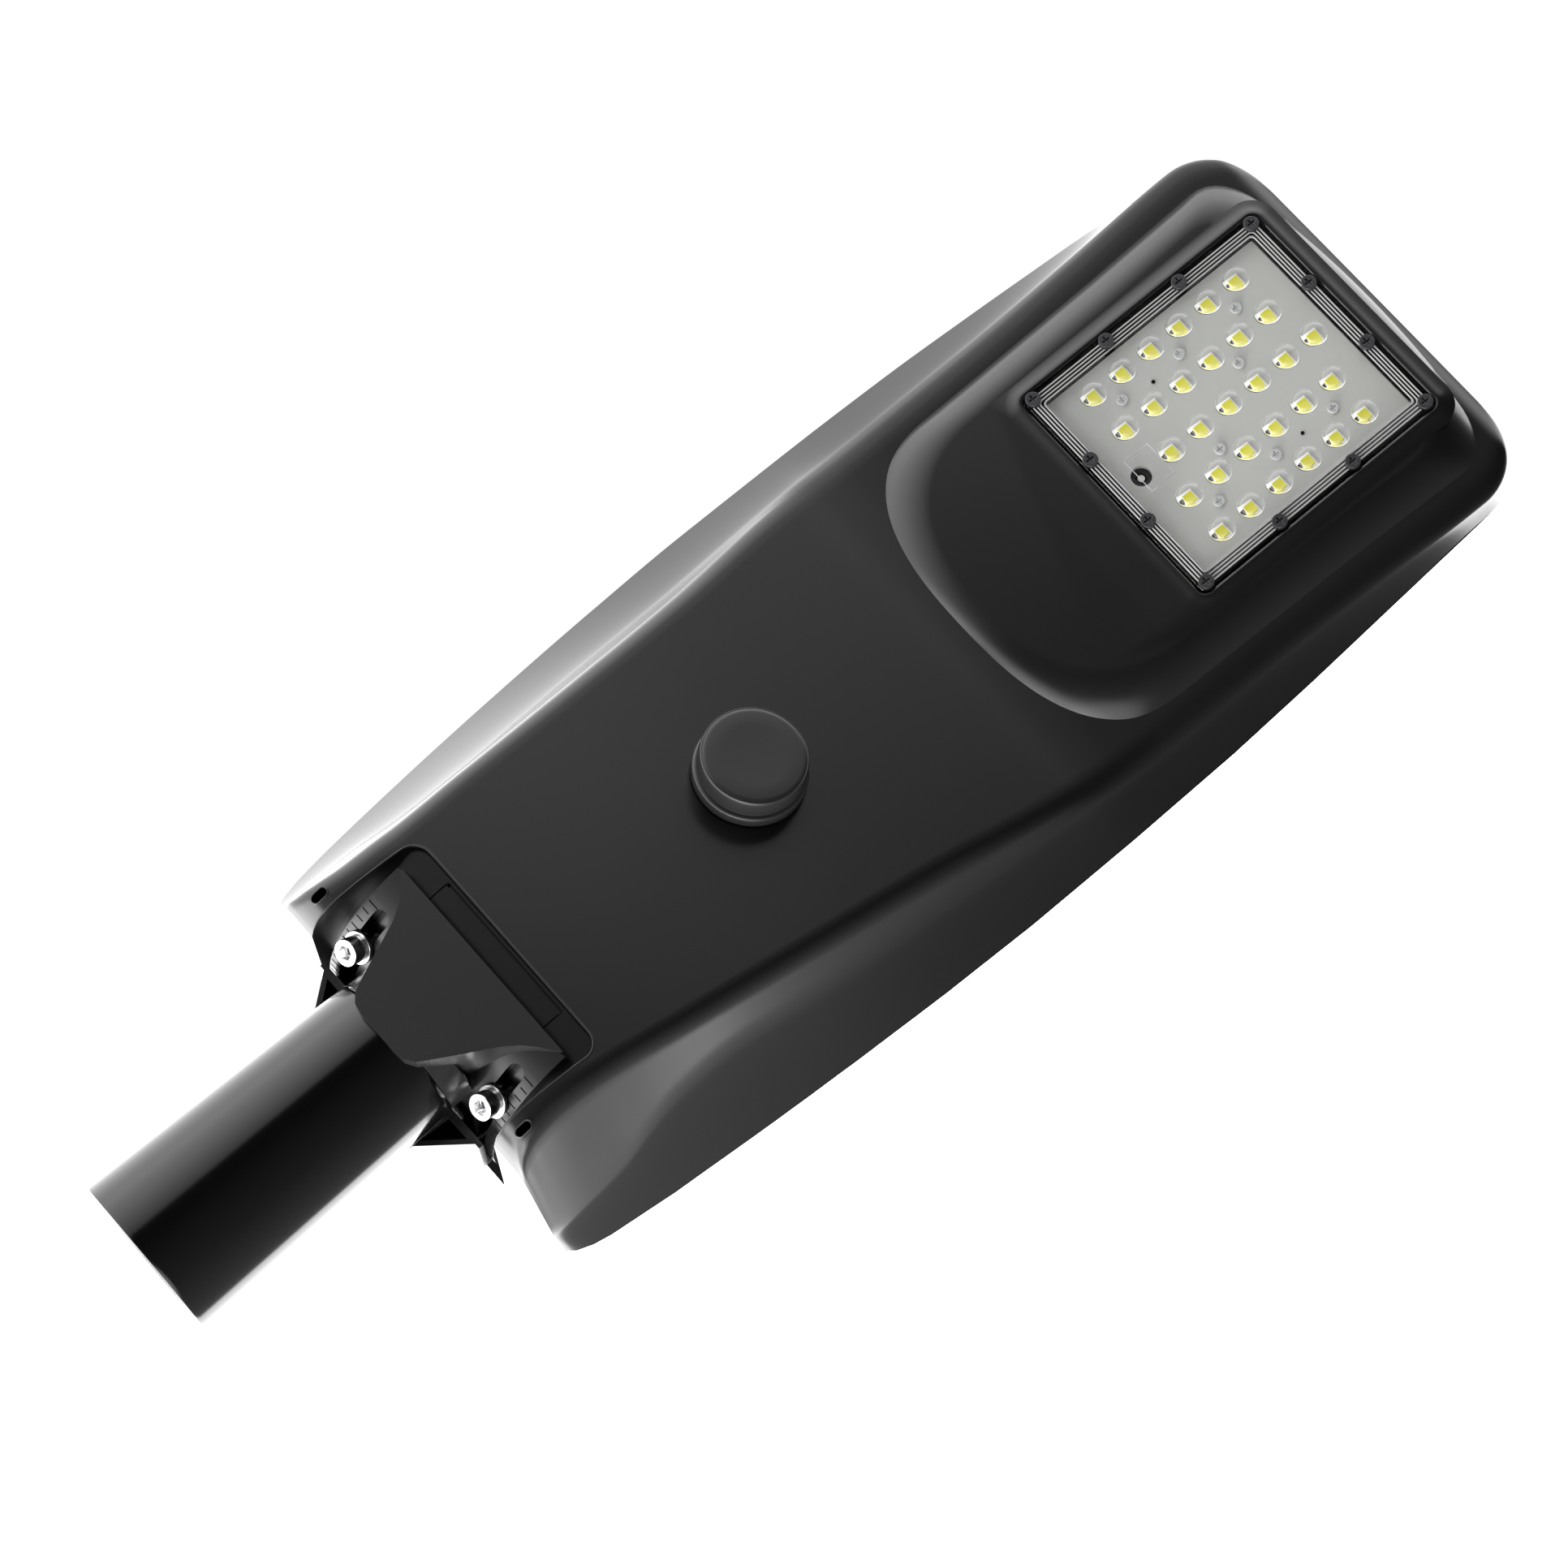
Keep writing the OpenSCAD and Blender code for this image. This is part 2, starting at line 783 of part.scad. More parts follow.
module sensor_cap() {
    color("#1e1e1f")
    sensor_place()
    rotate_extrude($fn = 96)
    polygon([[0, 15.4], [17.6, 15.4], [19.2, 14.9], [20, 13.4], [20, 6.2], [18.6, 6.2], [18.6, 12.6],
        [17.4, 13.6], [0, 13.6]]);
}

module sensor_nut() {
    color("#2a2a2a")
    sensor_place()
    translate([0, 0, -8])
    difference() {
        cylinder(h = 4.6, d = 34, $fn = 6);
        translate([0, 0, -1])
        cylinder(h = 7, d = 26.1, $fn = 64);
    }
}

module sensor_board() {
    color("#23603a")
    sensor_place() {
        translate([0, 0, 8.2])
        cylinder(h = 1.6, d = 30, $fn = 64);
        translate([0, 0, 9.8])
        cylinder(h = 3.2, d = 9.2, $fn = 48);
    }
}

/* Battery */
module at_cells() {
    for (row = [cell_low_z, cell_high_z])
        for (i = [-2.5 : 2.5])
            translate([battery_x0 + 0.5, i * cell_pitch, row])
            rotate([0, 90, 0])
            children();
}

module battery_cells() {
    color("#2f6fae")
    at_cells() {
        cylinder(h = cell_len, d = cell_d, $fn = 48);
        translate([0, 0, cell_len])
        cylinder(h = 0.8, d = 6, $fn = 24);
    }
}

module cell_holder(x) {
    color("#2c2c2e")
    difference() {
        box(x, x + holder_t, -57.3, 57.3, 2.6, 42.4);
        at_cells()
        translate([0, 0, -10])
        cylinder(h = cell_len + 20, d = cell_d + 0.1, $fn = 48);
    }
}

module rear_cell_holder() {
    cell_holder(battery_x0 + 2);
}

module front_cell_holder() {
    cell_holder(battery_x0 + cell_len - holder_t - 2);
}

// Nickel strips that join the cell ends in groups
module cell_links() {
    color("#b8b9b4")
    for (g = [-1, 0, 1]) {
        box(battery_x0 + cell_len + 1.35, battery_x0 + cell_len + 1.6, g * 2 * cell_pitch - 13,
            g * 2 * cell_pitch + 13, cell_low_z - 4, cell_high_z + 4);
        box(battery_x0 + 0.2, battery_x0 + 0.45, g * 2 * cell_pitch - 13,
            g * 2 * cell_pitch + 13, cell_low_z - 4, cell_high_z + 4);
    }
}

module battery_tray() {
    color("#9a9da0")
    difference() {
        union() {
            box(battery_x0 + 1, battery_x0 + 63, -60, 60, 1.1, 2.45);
            for (s = [-1, 1])
                box(205, 217, s > 0 ? 57.8 : -59, s > 0 ? 59 : -57.8, 2, 43.9);
            box(205, 217, -59, 59, 42.7, 43.9);
        }
        for (p = tray_screw_at)
            translate([p[0], p[1], -5])
            cylinder(h = 10, d = 4.3, $fn = 24);
    }
}

module tray_screws() {
    color("#c4c6c8")
    for (p = tray_screw_at)
        translate([p[0], p[1], -2]) {
            cylinder(h = 4.5, d = 3.2, $fn = 24);
            translate([0, 0, 4.5])
            cylinder(h = 1.8, d1 = 6.4, d2 = 4.6, $fn = 32);
        }
}

module protection_board() {
    color("#205a34")
    union() {
        box(248, 249.6, -40, 40, 8, 36);
        for (y = [-30 : 12 : 30])
            box(249.6, 251.8, y - 3, y + 3, 14, 24);
    }
}

/* Charge controller */
module controller_board() {
    color("#1f5c34")
    difference() {
        box(controller_x0, controller_x1, -47, 47, controller_z, controller_z + board_t);
        for (p = controller_screw_at)
            translate([p[0], p[1], 20])
            cylinder(h = 20, d = 3.2, $fn = 24);
    }
}

module controller_parts() {
    top = controller_z + board_t;
    color("#3a3a3c")
    union() {
        for (y = [-24, 2])
            translate([285, y, top])
            cylinder(h = 9, d = 12, $fn = 32);
        for (y = [-33, -18, 18, 33])
            box(300, 312, y - 5, y + 5, top, top + 4);
        box(268, 278, 14, 34, top, top + 10);
        box(318, 326, -20, 20, top, top + 2);
    }
}

module terminal_blocks() {
    color("#2d7a46")
    for (t = [[258, 257], [329, 331]])
        difference() {
            box(t[0], t[0] + 7, -30, 30, controller_z + board_t, controller_z + board_t + 9);
            for (y = [-25 : 10 : 25])
                translate([t[1], y, controller_z + board_t + 4.5])
                rotate([0, 90, 0])
                cylinder(h = 6, d = 4, $fn = 24);
        }
}

module controller_screws() {
    color("#c4c6c8")
    for (p = controller_screw_at)
        translate([p[0], p[1], controller_z + board_t + 1.8])
        rotate([180, 0, 0])
        pan_screw(5.6, 1.8, 2.5, 7);
}

/* Leads held inside the head, each swept along its own short route */
function unit(v) = v / norm(v);
function ring_points(p, t, r) =
    let (u = unit(cross(t, [0.1, 1, 0.2])), w = cross(u, t))
    [for (a = [0 : 36 : 324]) p + r * (cos(a) * u + sin(a) * w)];

module lead(pts, d) {
    n = len(pts);
    sides = 10;
    heading = [for (i = [0 : n - 1]) unit(unit(pts[min(i + 1, n - 1)] - pts[max(i, 1) - (i == n - 1
        ? 1 : i == 0 ? 1 : 0)]) + unit(pts[max(i, 1)] - pts[max(i, 1) - 1]))];
    rings = [for (i = [0 : n - 1]) each ring_points(pts[i], heading[i], d / 2)];
    skin = [for (i = [0 : n - 2]) for (j = [0 : sides - 1])
        each [[i * sides + j, i * sides + (j + 1) % sides, (i + 1) * sides + (j + 1) % sides],
            [i * sides + j, (i + 1) * sides + (j + 1) % sides, (i + 1) * sides + j]]];
    polyhedron(points = rings, faces = concat([[for (j = [sides - 1 : -1 : 0]) j]], skin,
        [[for (j = [0 : sides - 1]) (n - 1) * sides + j]]));
}

term_z = controller_z + board_t + 4.5;

module panel_lead() {
    color("#b03a2e")
    lead([[351.9, 5, 42.2], [347, 5, 42], [343, 5, 39.8], [340, 5, 37], [337, 5, term_z],
        [333, 5, term_z]], 2.4);
}

module light_lead() {
    x = led_x - 42.6;
    color("#d8d8d4")
    lead([[x, 0, 28.9], [x, 0, 34], [x - 2, 0, 37], [x - 6, -1, 38.5], [430, -8, 38.5],
        [390, -14, 38.5], [352, -15, 38.2], [344, -15, 37.2], [338, -15, term_z],
        [333, -15, term_z]], 2.8);
}

module sensor_lead() {
    color("#cfcfcb")
    lead([[268, 0, 2], [266, 0, 10], [263, 0, 20], [257, 3, 24.5], [254.2, 5, 28],
        [253.8, 5, 33], [255, 5, 35.4], [257.4, 5, term_z], [260, 5, term_z]], 2.4);
}

module battery_lead() {
    color("#b03a2e")
    lead([[250, -25, 30.1], [252.4, -25, 30.4], [253.8, -25, 32], [254, -25, 34],
        [255.4, -25, 35.7], [257.6, -25, term_z], [260, -25, term_z]], 2.4);
}

arm_tube();
saddle_adaptor();
tube_set_screws();
lock_bolts();
lock_washers();
lower_housing();
frame_gasket();
top_frame();
frame_screws();
solar_glass();
solar_cells();
solar_backsheet();
junction_box();
panel_lead();
light_board();
light_emitters();
thermal_pad();
lens_gasket();
lens_plate();
lens_screws();
board_screws();
light_lead();
cable_grommet();
sensor_base();
sensor_gasket();
sensor_cap();
sensor_nut();
sensor_board();
sensor_lead();
battery_cells();
rear_cell_holder();
front_cell_holder();
cell_links();
battery_tray();
tray_screws();
protection_board();
battery_lead();
controller_board();
controller_parts();
terminal_blocks();
controller_screws();
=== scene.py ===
"""Solar street lamp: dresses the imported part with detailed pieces, finishes and a studio."""

import json
import logging
import math
from bisect import bisect_right
from dataclasses import dataclass, field
from enum import Enum
from typing import Dict, Iterable, List, Optional, Sequence, Tuple

import bmesh
import bpy
from mathutils import Matrix, Vector


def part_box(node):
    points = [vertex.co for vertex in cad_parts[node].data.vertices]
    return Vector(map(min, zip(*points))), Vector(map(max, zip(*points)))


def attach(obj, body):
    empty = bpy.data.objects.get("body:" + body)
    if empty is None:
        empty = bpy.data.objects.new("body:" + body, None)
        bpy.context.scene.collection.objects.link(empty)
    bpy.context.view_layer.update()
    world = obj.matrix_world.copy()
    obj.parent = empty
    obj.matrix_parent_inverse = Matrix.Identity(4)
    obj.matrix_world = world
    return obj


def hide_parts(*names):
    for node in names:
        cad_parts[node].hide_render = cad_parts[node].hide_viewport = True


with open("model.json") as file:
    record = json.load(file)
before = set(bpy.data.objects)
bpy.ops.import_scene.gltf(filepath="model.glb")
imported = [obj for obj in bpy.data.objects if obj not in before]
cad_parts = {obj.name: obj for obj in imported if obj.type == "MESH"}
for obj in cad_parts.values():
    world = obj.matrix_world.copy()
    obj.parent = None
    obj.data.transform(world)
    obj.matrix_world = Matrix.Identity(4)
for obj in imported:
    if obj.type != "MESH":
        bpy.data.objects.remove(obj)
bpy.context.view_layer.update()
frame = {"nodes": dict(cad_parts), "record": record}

MM = 0.001
Point = Tuple[float, float]
Place = Tuple[float, float, float]
Mesh = bmesh.types.BMesh
Piece = bpy.types.Object
Tree = bpy.types.NodeTree
Socket = bpy.types.NodeSocket
DUST_COLOUR: Place = (0.32, 0.3, 0.27)
log = logging.getLogger("street_lamp")


class Body(Enum):
    """The two bodies that pieces ride on."""

    ARM = "arm"
    HEAD = "head"


class Action(Enum):
    """How one solid is combined with another."""

    ADD = "UNION"
    CUT = "DIFFERENCE"


class Curve:
    """A smooth curve through a table of places that never overshoots between them."""

    def __init__(self, points: Sequence[Point]) -> None:
        """Works out the slope at each place of the table.

        Args:
            points: Places as pairs, with the first number rising.
        """
        self.x = [p[0] for p in points]
        self.y = [p[1] for p in points]
        n = len(points)
        step = [(self.y[i + 1] - self.y[i]) / (self.x[i + 1] - self.x[i]) for i in range(n - 1)]
        self.slope = [step[0]] + [0.0] * (n - 2) + [step[-1]]
        for i in range(1, n - 1):
            if step[i - 1] * step[i] > 0:
                left, right = self.x[i] - self.x[i - 1], self.x[i + 1] - self.x[i]
                a, b = 2 * right + left, right + 2 * left
                self.slope[i] = (a + b) / (a / step[i - 1] + b / step[i])

    def __call__(self, x: float) -> float:
        """The height of the curve at one place.

        Args:
            x: The place along the table.

        Returns:
            The smooth value there.
        """
        x = min(max(x, self.x[0]), self.x[-1])
        i = min(bisect_right(self.x, x), len(self.x) - 1) - 1
        h = self.x[i + 1] - self.x[i]
        t = (x - self.x[i]) / h
        return (self.y[i] * (1 + 2 * t) * (1 - t) ** 2 + h * self.slope[i] * t * (1 - t) ** 2
                + self.y[i + 1] * t * t * (3 - 2 * t) + h * self.slope[i + 1] * t * t * (t - 1))


# ---------------------------------------------------------------- mesh helpers

def seal(bm: Mesh, reach: float = 0.002) -> None:
    """Merges doubles and turns every face outwards.

    Args:
        bm: The mesh being finished, in millimetres.
        reach: How close two points are to be one.
    """
    bmesh.ops.remove_doubles(bm, verts=bm.verts, dist=reach)
    bmesh.ops.recalc_face_normals(bm, faces=bm.faces)


def to_object(bm: Mesh, name: str, place: Optional[Matrix] = None) -> Piece:
    """Turns a mesh made in millimetres into an object in metres.

    Args:
        bm: The mesh, which is freed.
        name: The name of the new piece.
        place: Where the shape goes in the row frame, in millimetres.

    Returns:
        The new object, at the origin with its place in its mesh.
    """
    bmesh.ops.transform(bm, matrix=Matrix.Scale(MM, 4) @ (place or Matrix.Identity(4)), verts=bm.verts)
    mesh = bpy.data.meshes.new(name)
    bm.to_mesh(mesh)
    bm.free()
    piece = bpy.data.objects.new(name, mesh)
    bpy.context.scene.collection.objects.link(piece)
    return piece


def bake_modifiers(piece: Piece) -> None:
    """Puts the result of a piece's modifiers into its mesh.

    Args:
        piece: The piece with live modifiers.
    """
    bpy.context.view_layer.update()
    graph = bpy.context.evaluated_depsgraph_get()
    mesh = bpy.data.meshes.new_from_object(piece.evaluated_get(graph))
    piece.modifiers.clear()
    piece.data = mesh


def combine(piece: Piece, other: Piece, action: Action) -> None:
    """Adds one solid to another or cuts it away, and drops the second.

    Args:
        piece: The solid that is kept.
        other: The solid that is used up.
        action: What happens between them.
    """
    modifier = piece.modifiers.new(action.name.lower(), "BOOLEAN")
    modifier.operation = action.value
    modifier.solver = "MANIFOLD"
    modifier.object = other
    bake_modifiers(piece)
    bpy.data.objects.remove(other)


def shade(piece: Piece, degrees: float = 32) -> None:
    """Smooths a piece's faces and keeps its real edges sharp.

    Args:
        piece: The piece to shade.
        degrees: Edges that turn more than this stay sharp.
    """
    piece.data.shade_smooth()
    piece.data.set_sharp_from_angle(angle=math.radians(degrees))


def soften(piece: Piece, width: float, segments: int = 2, degrees: float = 34) -> None:
    """Rounds a piece's edges with a live bevel.

    Args:
        piece: The piece to soften.
        width: The width of the rounding in millimetres.
        segments: How many strips make up the rounding.
        degrees: Edges that turn less than this are left alone.
    """
    modifier = piece.modifiers.new("edges", "BEVEL")
    modifier.width = width * MM
    modifier.segments = segments
    modifier.limit_method = "ANGLE"
    modifier.angle_limit = math.radians(degrees)
    modifier.use_clamp_overlap = True
    level = piece.modifiers.new("even_normals", "WEIGHTED_NORMAL")
    level.keep_sharp = True
    level.weight = 90


def copy_node(node: str, name: str, width: float, degrees: float = 34) -> Piece:
    """Copies a CAD node as a clean mesh with softened edges.

    Args:
        node: The CAD node to copy.
        name: The name of the new piece.
        width: The width of the edge rounding in millimetres.
        degrees: Edges that turn less than this are left alone.

    Returns:
        The new piece, which stands for the node.
    """
    bm = bmesh.new()
    bm.from_mesh(frame["nodes"][node].data)
    bmesh.ops.transform(bm, matrix=Matrix.Scale(1 / MM, 4), verts=bm.verts)
    bmesh.ops.remove_doubles(bm, verts=bm.verts, dist=0.004)
    bmesh.ops.dissolve_limit(bm, angle_limit=math.radians(0.6), use_dissolve_boundaries=False,
                             verts=bm.verts, edges=bm.edges, delimit=set())
    piece = to_object(bm, name)
    shade(piece, degrees)
    soften(piece, width, degrees=degrees)
    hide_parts(node)
    return piece


def spun(profile: Sequence[Point], steps: int = 96) -> Mesh:
    """Spins a profile of radius and height pairs round the Z axis.

    Args:
        profile: Radius and height pairs in millimetres, in order.
        steps: How many strips make up the full turn.

    Returns:
        The closed mesh.
    """
    bm = bmesh.new()
    line = [bm.verts.new((r, 0, z)) for r, z in profile]
    edges = [bm.edges.new(pair) for pair in zip(line, line[1:])]
    bmesh.ops.spin(bm, geom=line + edges, cent=(0, 0, 0), axis=(0, 0, 1), angle=math.tau,
                   steps=steps, use_merge=True)
    bmesh.ops.dissolve_degenerate(bm, dist=0.0005, edges=bm.edges)
    seal(bm)
    return bm


def block(x0: float, x1: float, y0: float, y1: float, z0: float, z1: float,
          rounding: float = 0.0, segments: int = 3) -> Mesh:
    """A block between two corners, with its edges rounded if wanted.

    Args:
        x0: Lowest X, with the others in the same way, in millimetres.
        x1: Highest X.
        y0: Lowest Y.
        y1: Highest Y.
        z0: Lowest Z.
        z1: Highest Z.
        rounding: The radius of its edges.
        segments: How many strips make up each rounding.

    Returns:
        The closed mesh.
    """
    bm = bmesh.new()
    size = Matrix.Diagonal((x1 - x0, y1 - y0, z1 - z0, 1))
    middle = Matrix.Translation(((x0 + x1) / 2, (y0 + y1) / 2, (z0 + z1) / 2))
    bmesh.ops.create_cube(bm, size=1, matrix=middle @ size)
    if rounding:
        bmesh.ops.bevel(bm, geom=list(bm.edges), offset=rounding, affect="EDGES",
                        segments=segments, profile=0.5, material=-1)
    return bm


def gather(parts: Iterable[Mesh]) -> Mesh:
    """Puts several meshes into one.

    Args:
        parts: The meshes, which are freed.

    Returns:
        One mesh that holds them all.
    """
    whole = bmesh.new()
    for part in parts:
        scratch = bpy.data.meshes.new("scratch")
        part.to_mesh(scratch)
        part.free()
        whole.from_mesh(scratch)
        bpy.data.meshes.remove(scratch)
    return whole


def ringed(loops: Sequence[Sequence[Place]], capped: bool = True,
           closed: bool = False) -> Mesh:
    """Skins a row of loops that have the same number of points.

    Args:
        loops: Each loop's points in millimetres.
        capped: Whether the first and last loop are filled.
        closed: Whether the last loop joins the first, as in a ring.

    Returns:
        The closed mesh.
    """
    bm = bmesh.new()
    rings = [bmesh.ops.create_circle(bm, segments=len(loop), radius=1,
                                     matrix=Matrix.Translation((0, 0, level)))["verts"]
             for level, loop in enumerate(loops)]
    edges = [list({e for v in ring for e in v.link_edges}) for ring in rings]
    for a, b in list(zip(edges, edges[1:])) + ([(edges[-1], edges[0])] if closed else []):
        bmesh.ops.bridge_loops(bm, edges=a + b)
    if capped and not closed:
        for ring in (edges[0], edges[-1]):
            bmesh.ops.contextual_create(bm, geom=ring)
    for ring, loop in zip(rings, loops):
        for vert, place in zip(ring, loop):
            vert.co = place
    seal(bm)
    return bm


def rounded_loop(half_x: float, half_y: float, radius: float, z: float, centre_x: float,
                 corner: int = 8) -> List[Place]:
    """The points of a rectangle with round corners.

    Args:
        half_x: Half its length.
        half_y: Half its width.
        radius: The radius of its corners.
        z: Its height.
        centre_x: Where its middle is along the head.
        corner: How many steps make up each corner.

    Returns:
        The points in order.
    """
    points = []
    for sx, sy, start in ((1, 1, 0), (-1, 1, 90), (-1, -1, 180), (1, -1, 270)):
        for i in range(corner + 1):
            a = math.radians(start + 90 * i / corner)
            points.append((centre_x + sx * (half_x - radius) + radius * math.cos(a),
                           sy * (half_y - radius) + radius * math.sin(a), z))
    return points


def bead(name: str, points: Sequence[Place], radius: float,
         closed: bool = True) -> Piece:
    """A thin round bead along a line of points.

    Args:
        name: The name of the new piece.
        points: The line in millimetres.
        radius: The bead's radius in millimetres.
        closed: Whether the line runs back to its start.

    Returns:
        The bead as a mesh object.
    """
    curve = bpy.data.curves.new(name, "CURVE")
    curve.dimensions = "3D"
    curve.bevel_depth = radius * MM
    curve.bevel_resolution = 3
    curve.use_fill_caps = True
    spline = curve.splines.new("POLY")
    spline.points.add(len(points) - 1)
    for target, point in zip(spline.points, points):
        target.co = (*(c * MM for c in point), 1)
    spline.use_cyclic_u = closed
    holder = bpy.data.objects.new(name, curve)
    bpy.context.scene.collection.objects.link(holder)
    bpy.context.view_layer.update()
    mesh = bpy.data.meshes.new_from_object(holder.evaluated_get(bpy.context.evaluated_depsgraph_get()))
    bpy.data.objects.remove(holder)
    piece = bpy.data.objects.new(name, mesh)
    bpy.context.scene.collection.objects.link(piece)
    piece.data.shade_smooth()
    return piece


# ---------------------------------------------------------------- finishes

def node_group(name: str, inputs: Sequence[Tuple[str, float]],
               outputs: Sequence[Tuple[str, str]]
               ) -> Tuple[Tree, bpy.types.Node, bpy.types.Node]:
    """Makes an empty shader node group with named sockets.

    Args:
        name: The name of the group.
        inputs: Number inputs and their usual values.
        outputs: Output names and their socket types.

    Returns:
        The tree, its input node and its output node.
    """
    tree = bpy.data.node_groups.new(name, "ShaderNodeTree")
    for label, value in inputs:
        socket = tree.interface.new_socket(label, in_out="INPUT", socket_type="NodeSocketFloat")
        socket.default_value = value
    for label, kind in outputs:
        tree.interface.new_socket(label, in_out="OUTPUT", socket_type=kind)
    return tree, tree.nodes.new("NodeGroupInput"), tree.nodes.new("NodeGroupOutput")


def maths(tree: Tree, operation: str, a: object, b: object = None,
          clamp: bool = False) -> Socket:
    """Adds a Math node.

    Args:
        tree: The tree that it goes in.
        operation: The operation's name.
        a: A socket or a number.
        b: A second socket or number.
        clamp: Whether the result stays between 0 and 1.

    Returns:
        The result's socket.
    """
    node = tree.nodes.new("ShaderNodeMath")
    node.operation = operation
    node.use_clamp = clamp
    for socket, value in zip(node.inputs, (a, b)):
        if isinstance(value, Socket):
            tree.links.new(value, socket)
        elif value is not None:
            socket.default_value = value
    return node.outputs[0]


def noise(tree: Tree, vector: Socket, scale: object,
          detail: float = 2.0) -> Socket:
    """Adds a Noise Texture.

    Args:
        tree: The tree that it goes in.
        vector: The coordinates.
        scale: A socket or a number.
        detail: How many layers of detail.

    Returns:
        The socket of its value.
    """
    node = tree.nodes.new("ShaderNodeTexNoise")
    node.inputs["Detail"].default_value = detail
    tree.links.new(vector, node.inputs["Vector"])
    if isinstance(scale, Socket):
        tree.links.new(scale, node.inputs["Scale"])
    else:
        node.inputs["Scale"].default_value = scale
    return node.outputs["Fac"]


def blend(tree: Tree, factor: Socket, first: object, second: object) -> Socket:
    """Mixes two colours.

    Args:
        tree: The node tree.
        factor: How much of the second colour shows.
        first: A colour, or the socket of one.
        second: A colour, or the socket of one.

    Returns:
        The mixed colour's socket.
    """
    mix = tree.nodes.new("ShaderNodeMix")
    mix.data_type = "RGBA"
    for name, value in (("A", first), ("B", second)):
        if isinstance(value, Socket):
            tree.links.new(value, mix.inputs[name])
        else:
            mix.inputs[name].default_value = (*value, 1)
    tree.links.new(factor, mix.inputs["Factor"])
    return mix.outputs["Result"]


def mix_shaders(tree: Tree, share: Socket, first: bpy.types.Node, second: bpy.types.Node, sink: Socket) -> None:
    """Feeds a mix of two shaders to an output.

    Args:
        tree: The node tree.
        share: How much of the second shader shows.
        first: The first shader.
        second: The second shader.
        sink: The input that the mix goes to.
    """
    mix = tree.nodes.new("ShaderNodeMixShader")
    for source, target in zip((share, first.outputs[0], second.outputs[0]), mix.inputs):
        tree.links.new(source, target)
    tree.links.new(mix.outputs[0], sink)


class Effects:
    """Effects that several finishes share, each built once."""

    def __init__(self) -> None:
        """Builds the shared node groups."""
        self.grain = self.build_grain()
        self.lines = self.build_lines()
        self.settle = self.build_settle()

    def build_grain(self) -> Tree:
        """The fine grain of powder coat and moulded plastic.

        Returns:
            The node group.
        """
        tree, source, sink = node_group(
            "coat_grain", (("Scale", 900), ("Roughness", 0.4), ("Spread", 0.08)),
            (("Height", "NodeSocketFloat"), ("Roughness", "NodeSocketFloat"), ("Shade", "NodeSocketFloat")))
        place = tree.nodes.new("ShaderNodeTexCoord").outputs["Object"]
        fine = noise(tree, place, source.outputs["Scale"], 3)
        broad = noise(tree, place, 14, 3)
        tree.links.new(fine, sink.inputs["Height"])
        swing = maths(tree, "MULTIPLY", maths(tree, "SUBTRACT", broad, 0.5), source.outputs["Spread"])
        speck = maths(tree, "MULTIPLY", maths(tree, "SUBTRACT", fine, 0.5), source.outputs["Spread"])
        total = maths(tree, "ADD", maths(tree, "ADD", swing, speck), source.outputs["Roughness"], True)
        tree.links.new(total, sink.inputs["Roughness"])
        tree.links.new(broad, sink.inputs["Shade"])
        return tree

    def build_lines(self) -> Tree:
        """The fine lines of brushed, drawn or turned metal along one axis.

        Returns:
            The node group.
        """
        tree, source, sink = node_group(
            "drawn_lines", (("Across", 1600), ("Along", 30), ("Roughness", 0.3), ("Spread", 0.15)),
            (("Height", "NodeSocketFloat"), ("Roughness", "NodeSocketFloat")))
        place = tree.nodes.new("ShaderNodeTexCoord").outputs["Object"]
        stretch = tree.nodes.new("ShaderNodeVectorMath")
        stretch.operation = "MULTIPLY"
        pack = tree.nodes.new("ShaderNodeCombineXYZ")
        tree.links.new(source.outputs["Along"], pack.inputs[0])
        tree.links.new(source.outputs["Across"], pack.inputs[1])
        tree.links.new(source.outputs["Across"], pack.inputs[2])
        tree.links.new(place, stretch.inputs[0])
        tree.links.new(pack.outputs[0], stretch.inputs[1])
        streak = noise(tree, stretch.outputs[0], 1, 3)
        tree.links.new(streak, sink.inputs["Height"])
        swing = maths(tree, "MULTIPLY", maths(tree, "SUBTRACT", streak, 0.5), source.outputs["Spread"])
        tree.links.new(maths(tree, "ADD", swing, source.outputs["Roughness"], True), sink.inputs["Roughness"])
        return tree

    def build_settle(self) -> Tree:
        """Where a thin film of dust settles: on faces that look up.

        Returns:
            The node group.
        """
        tree, source, sink = node_group("dust_film", (("Amount", 0.3),), (("Mask", "NodeSocketFloat"),))
        facing = tree.nodes.new("ShaderNodeNewGeometry")
        split = tree.nodes.new("ShaderNodeSeparateXYZ")
        tree.links.new(facing.outputs["Normal"], split.inputs[0])
        place = tree.nodes.new("ShaderNodeTexCoord").outputs["Object"]
        patch = maths(tree, "MULTIPLY", noise(tree, place, 22, 5), 1.4)
        up = maths(tree, "MAXIMUM", split.outputs["Z"], 0)
        mask = maths(tree, "MULTIPLY", maths(tree, "MULTIPLY", up, patch), source.outputs["Amount"], True)
        tree.links.new(mask, sink.inputs["Mask"])
        return tree


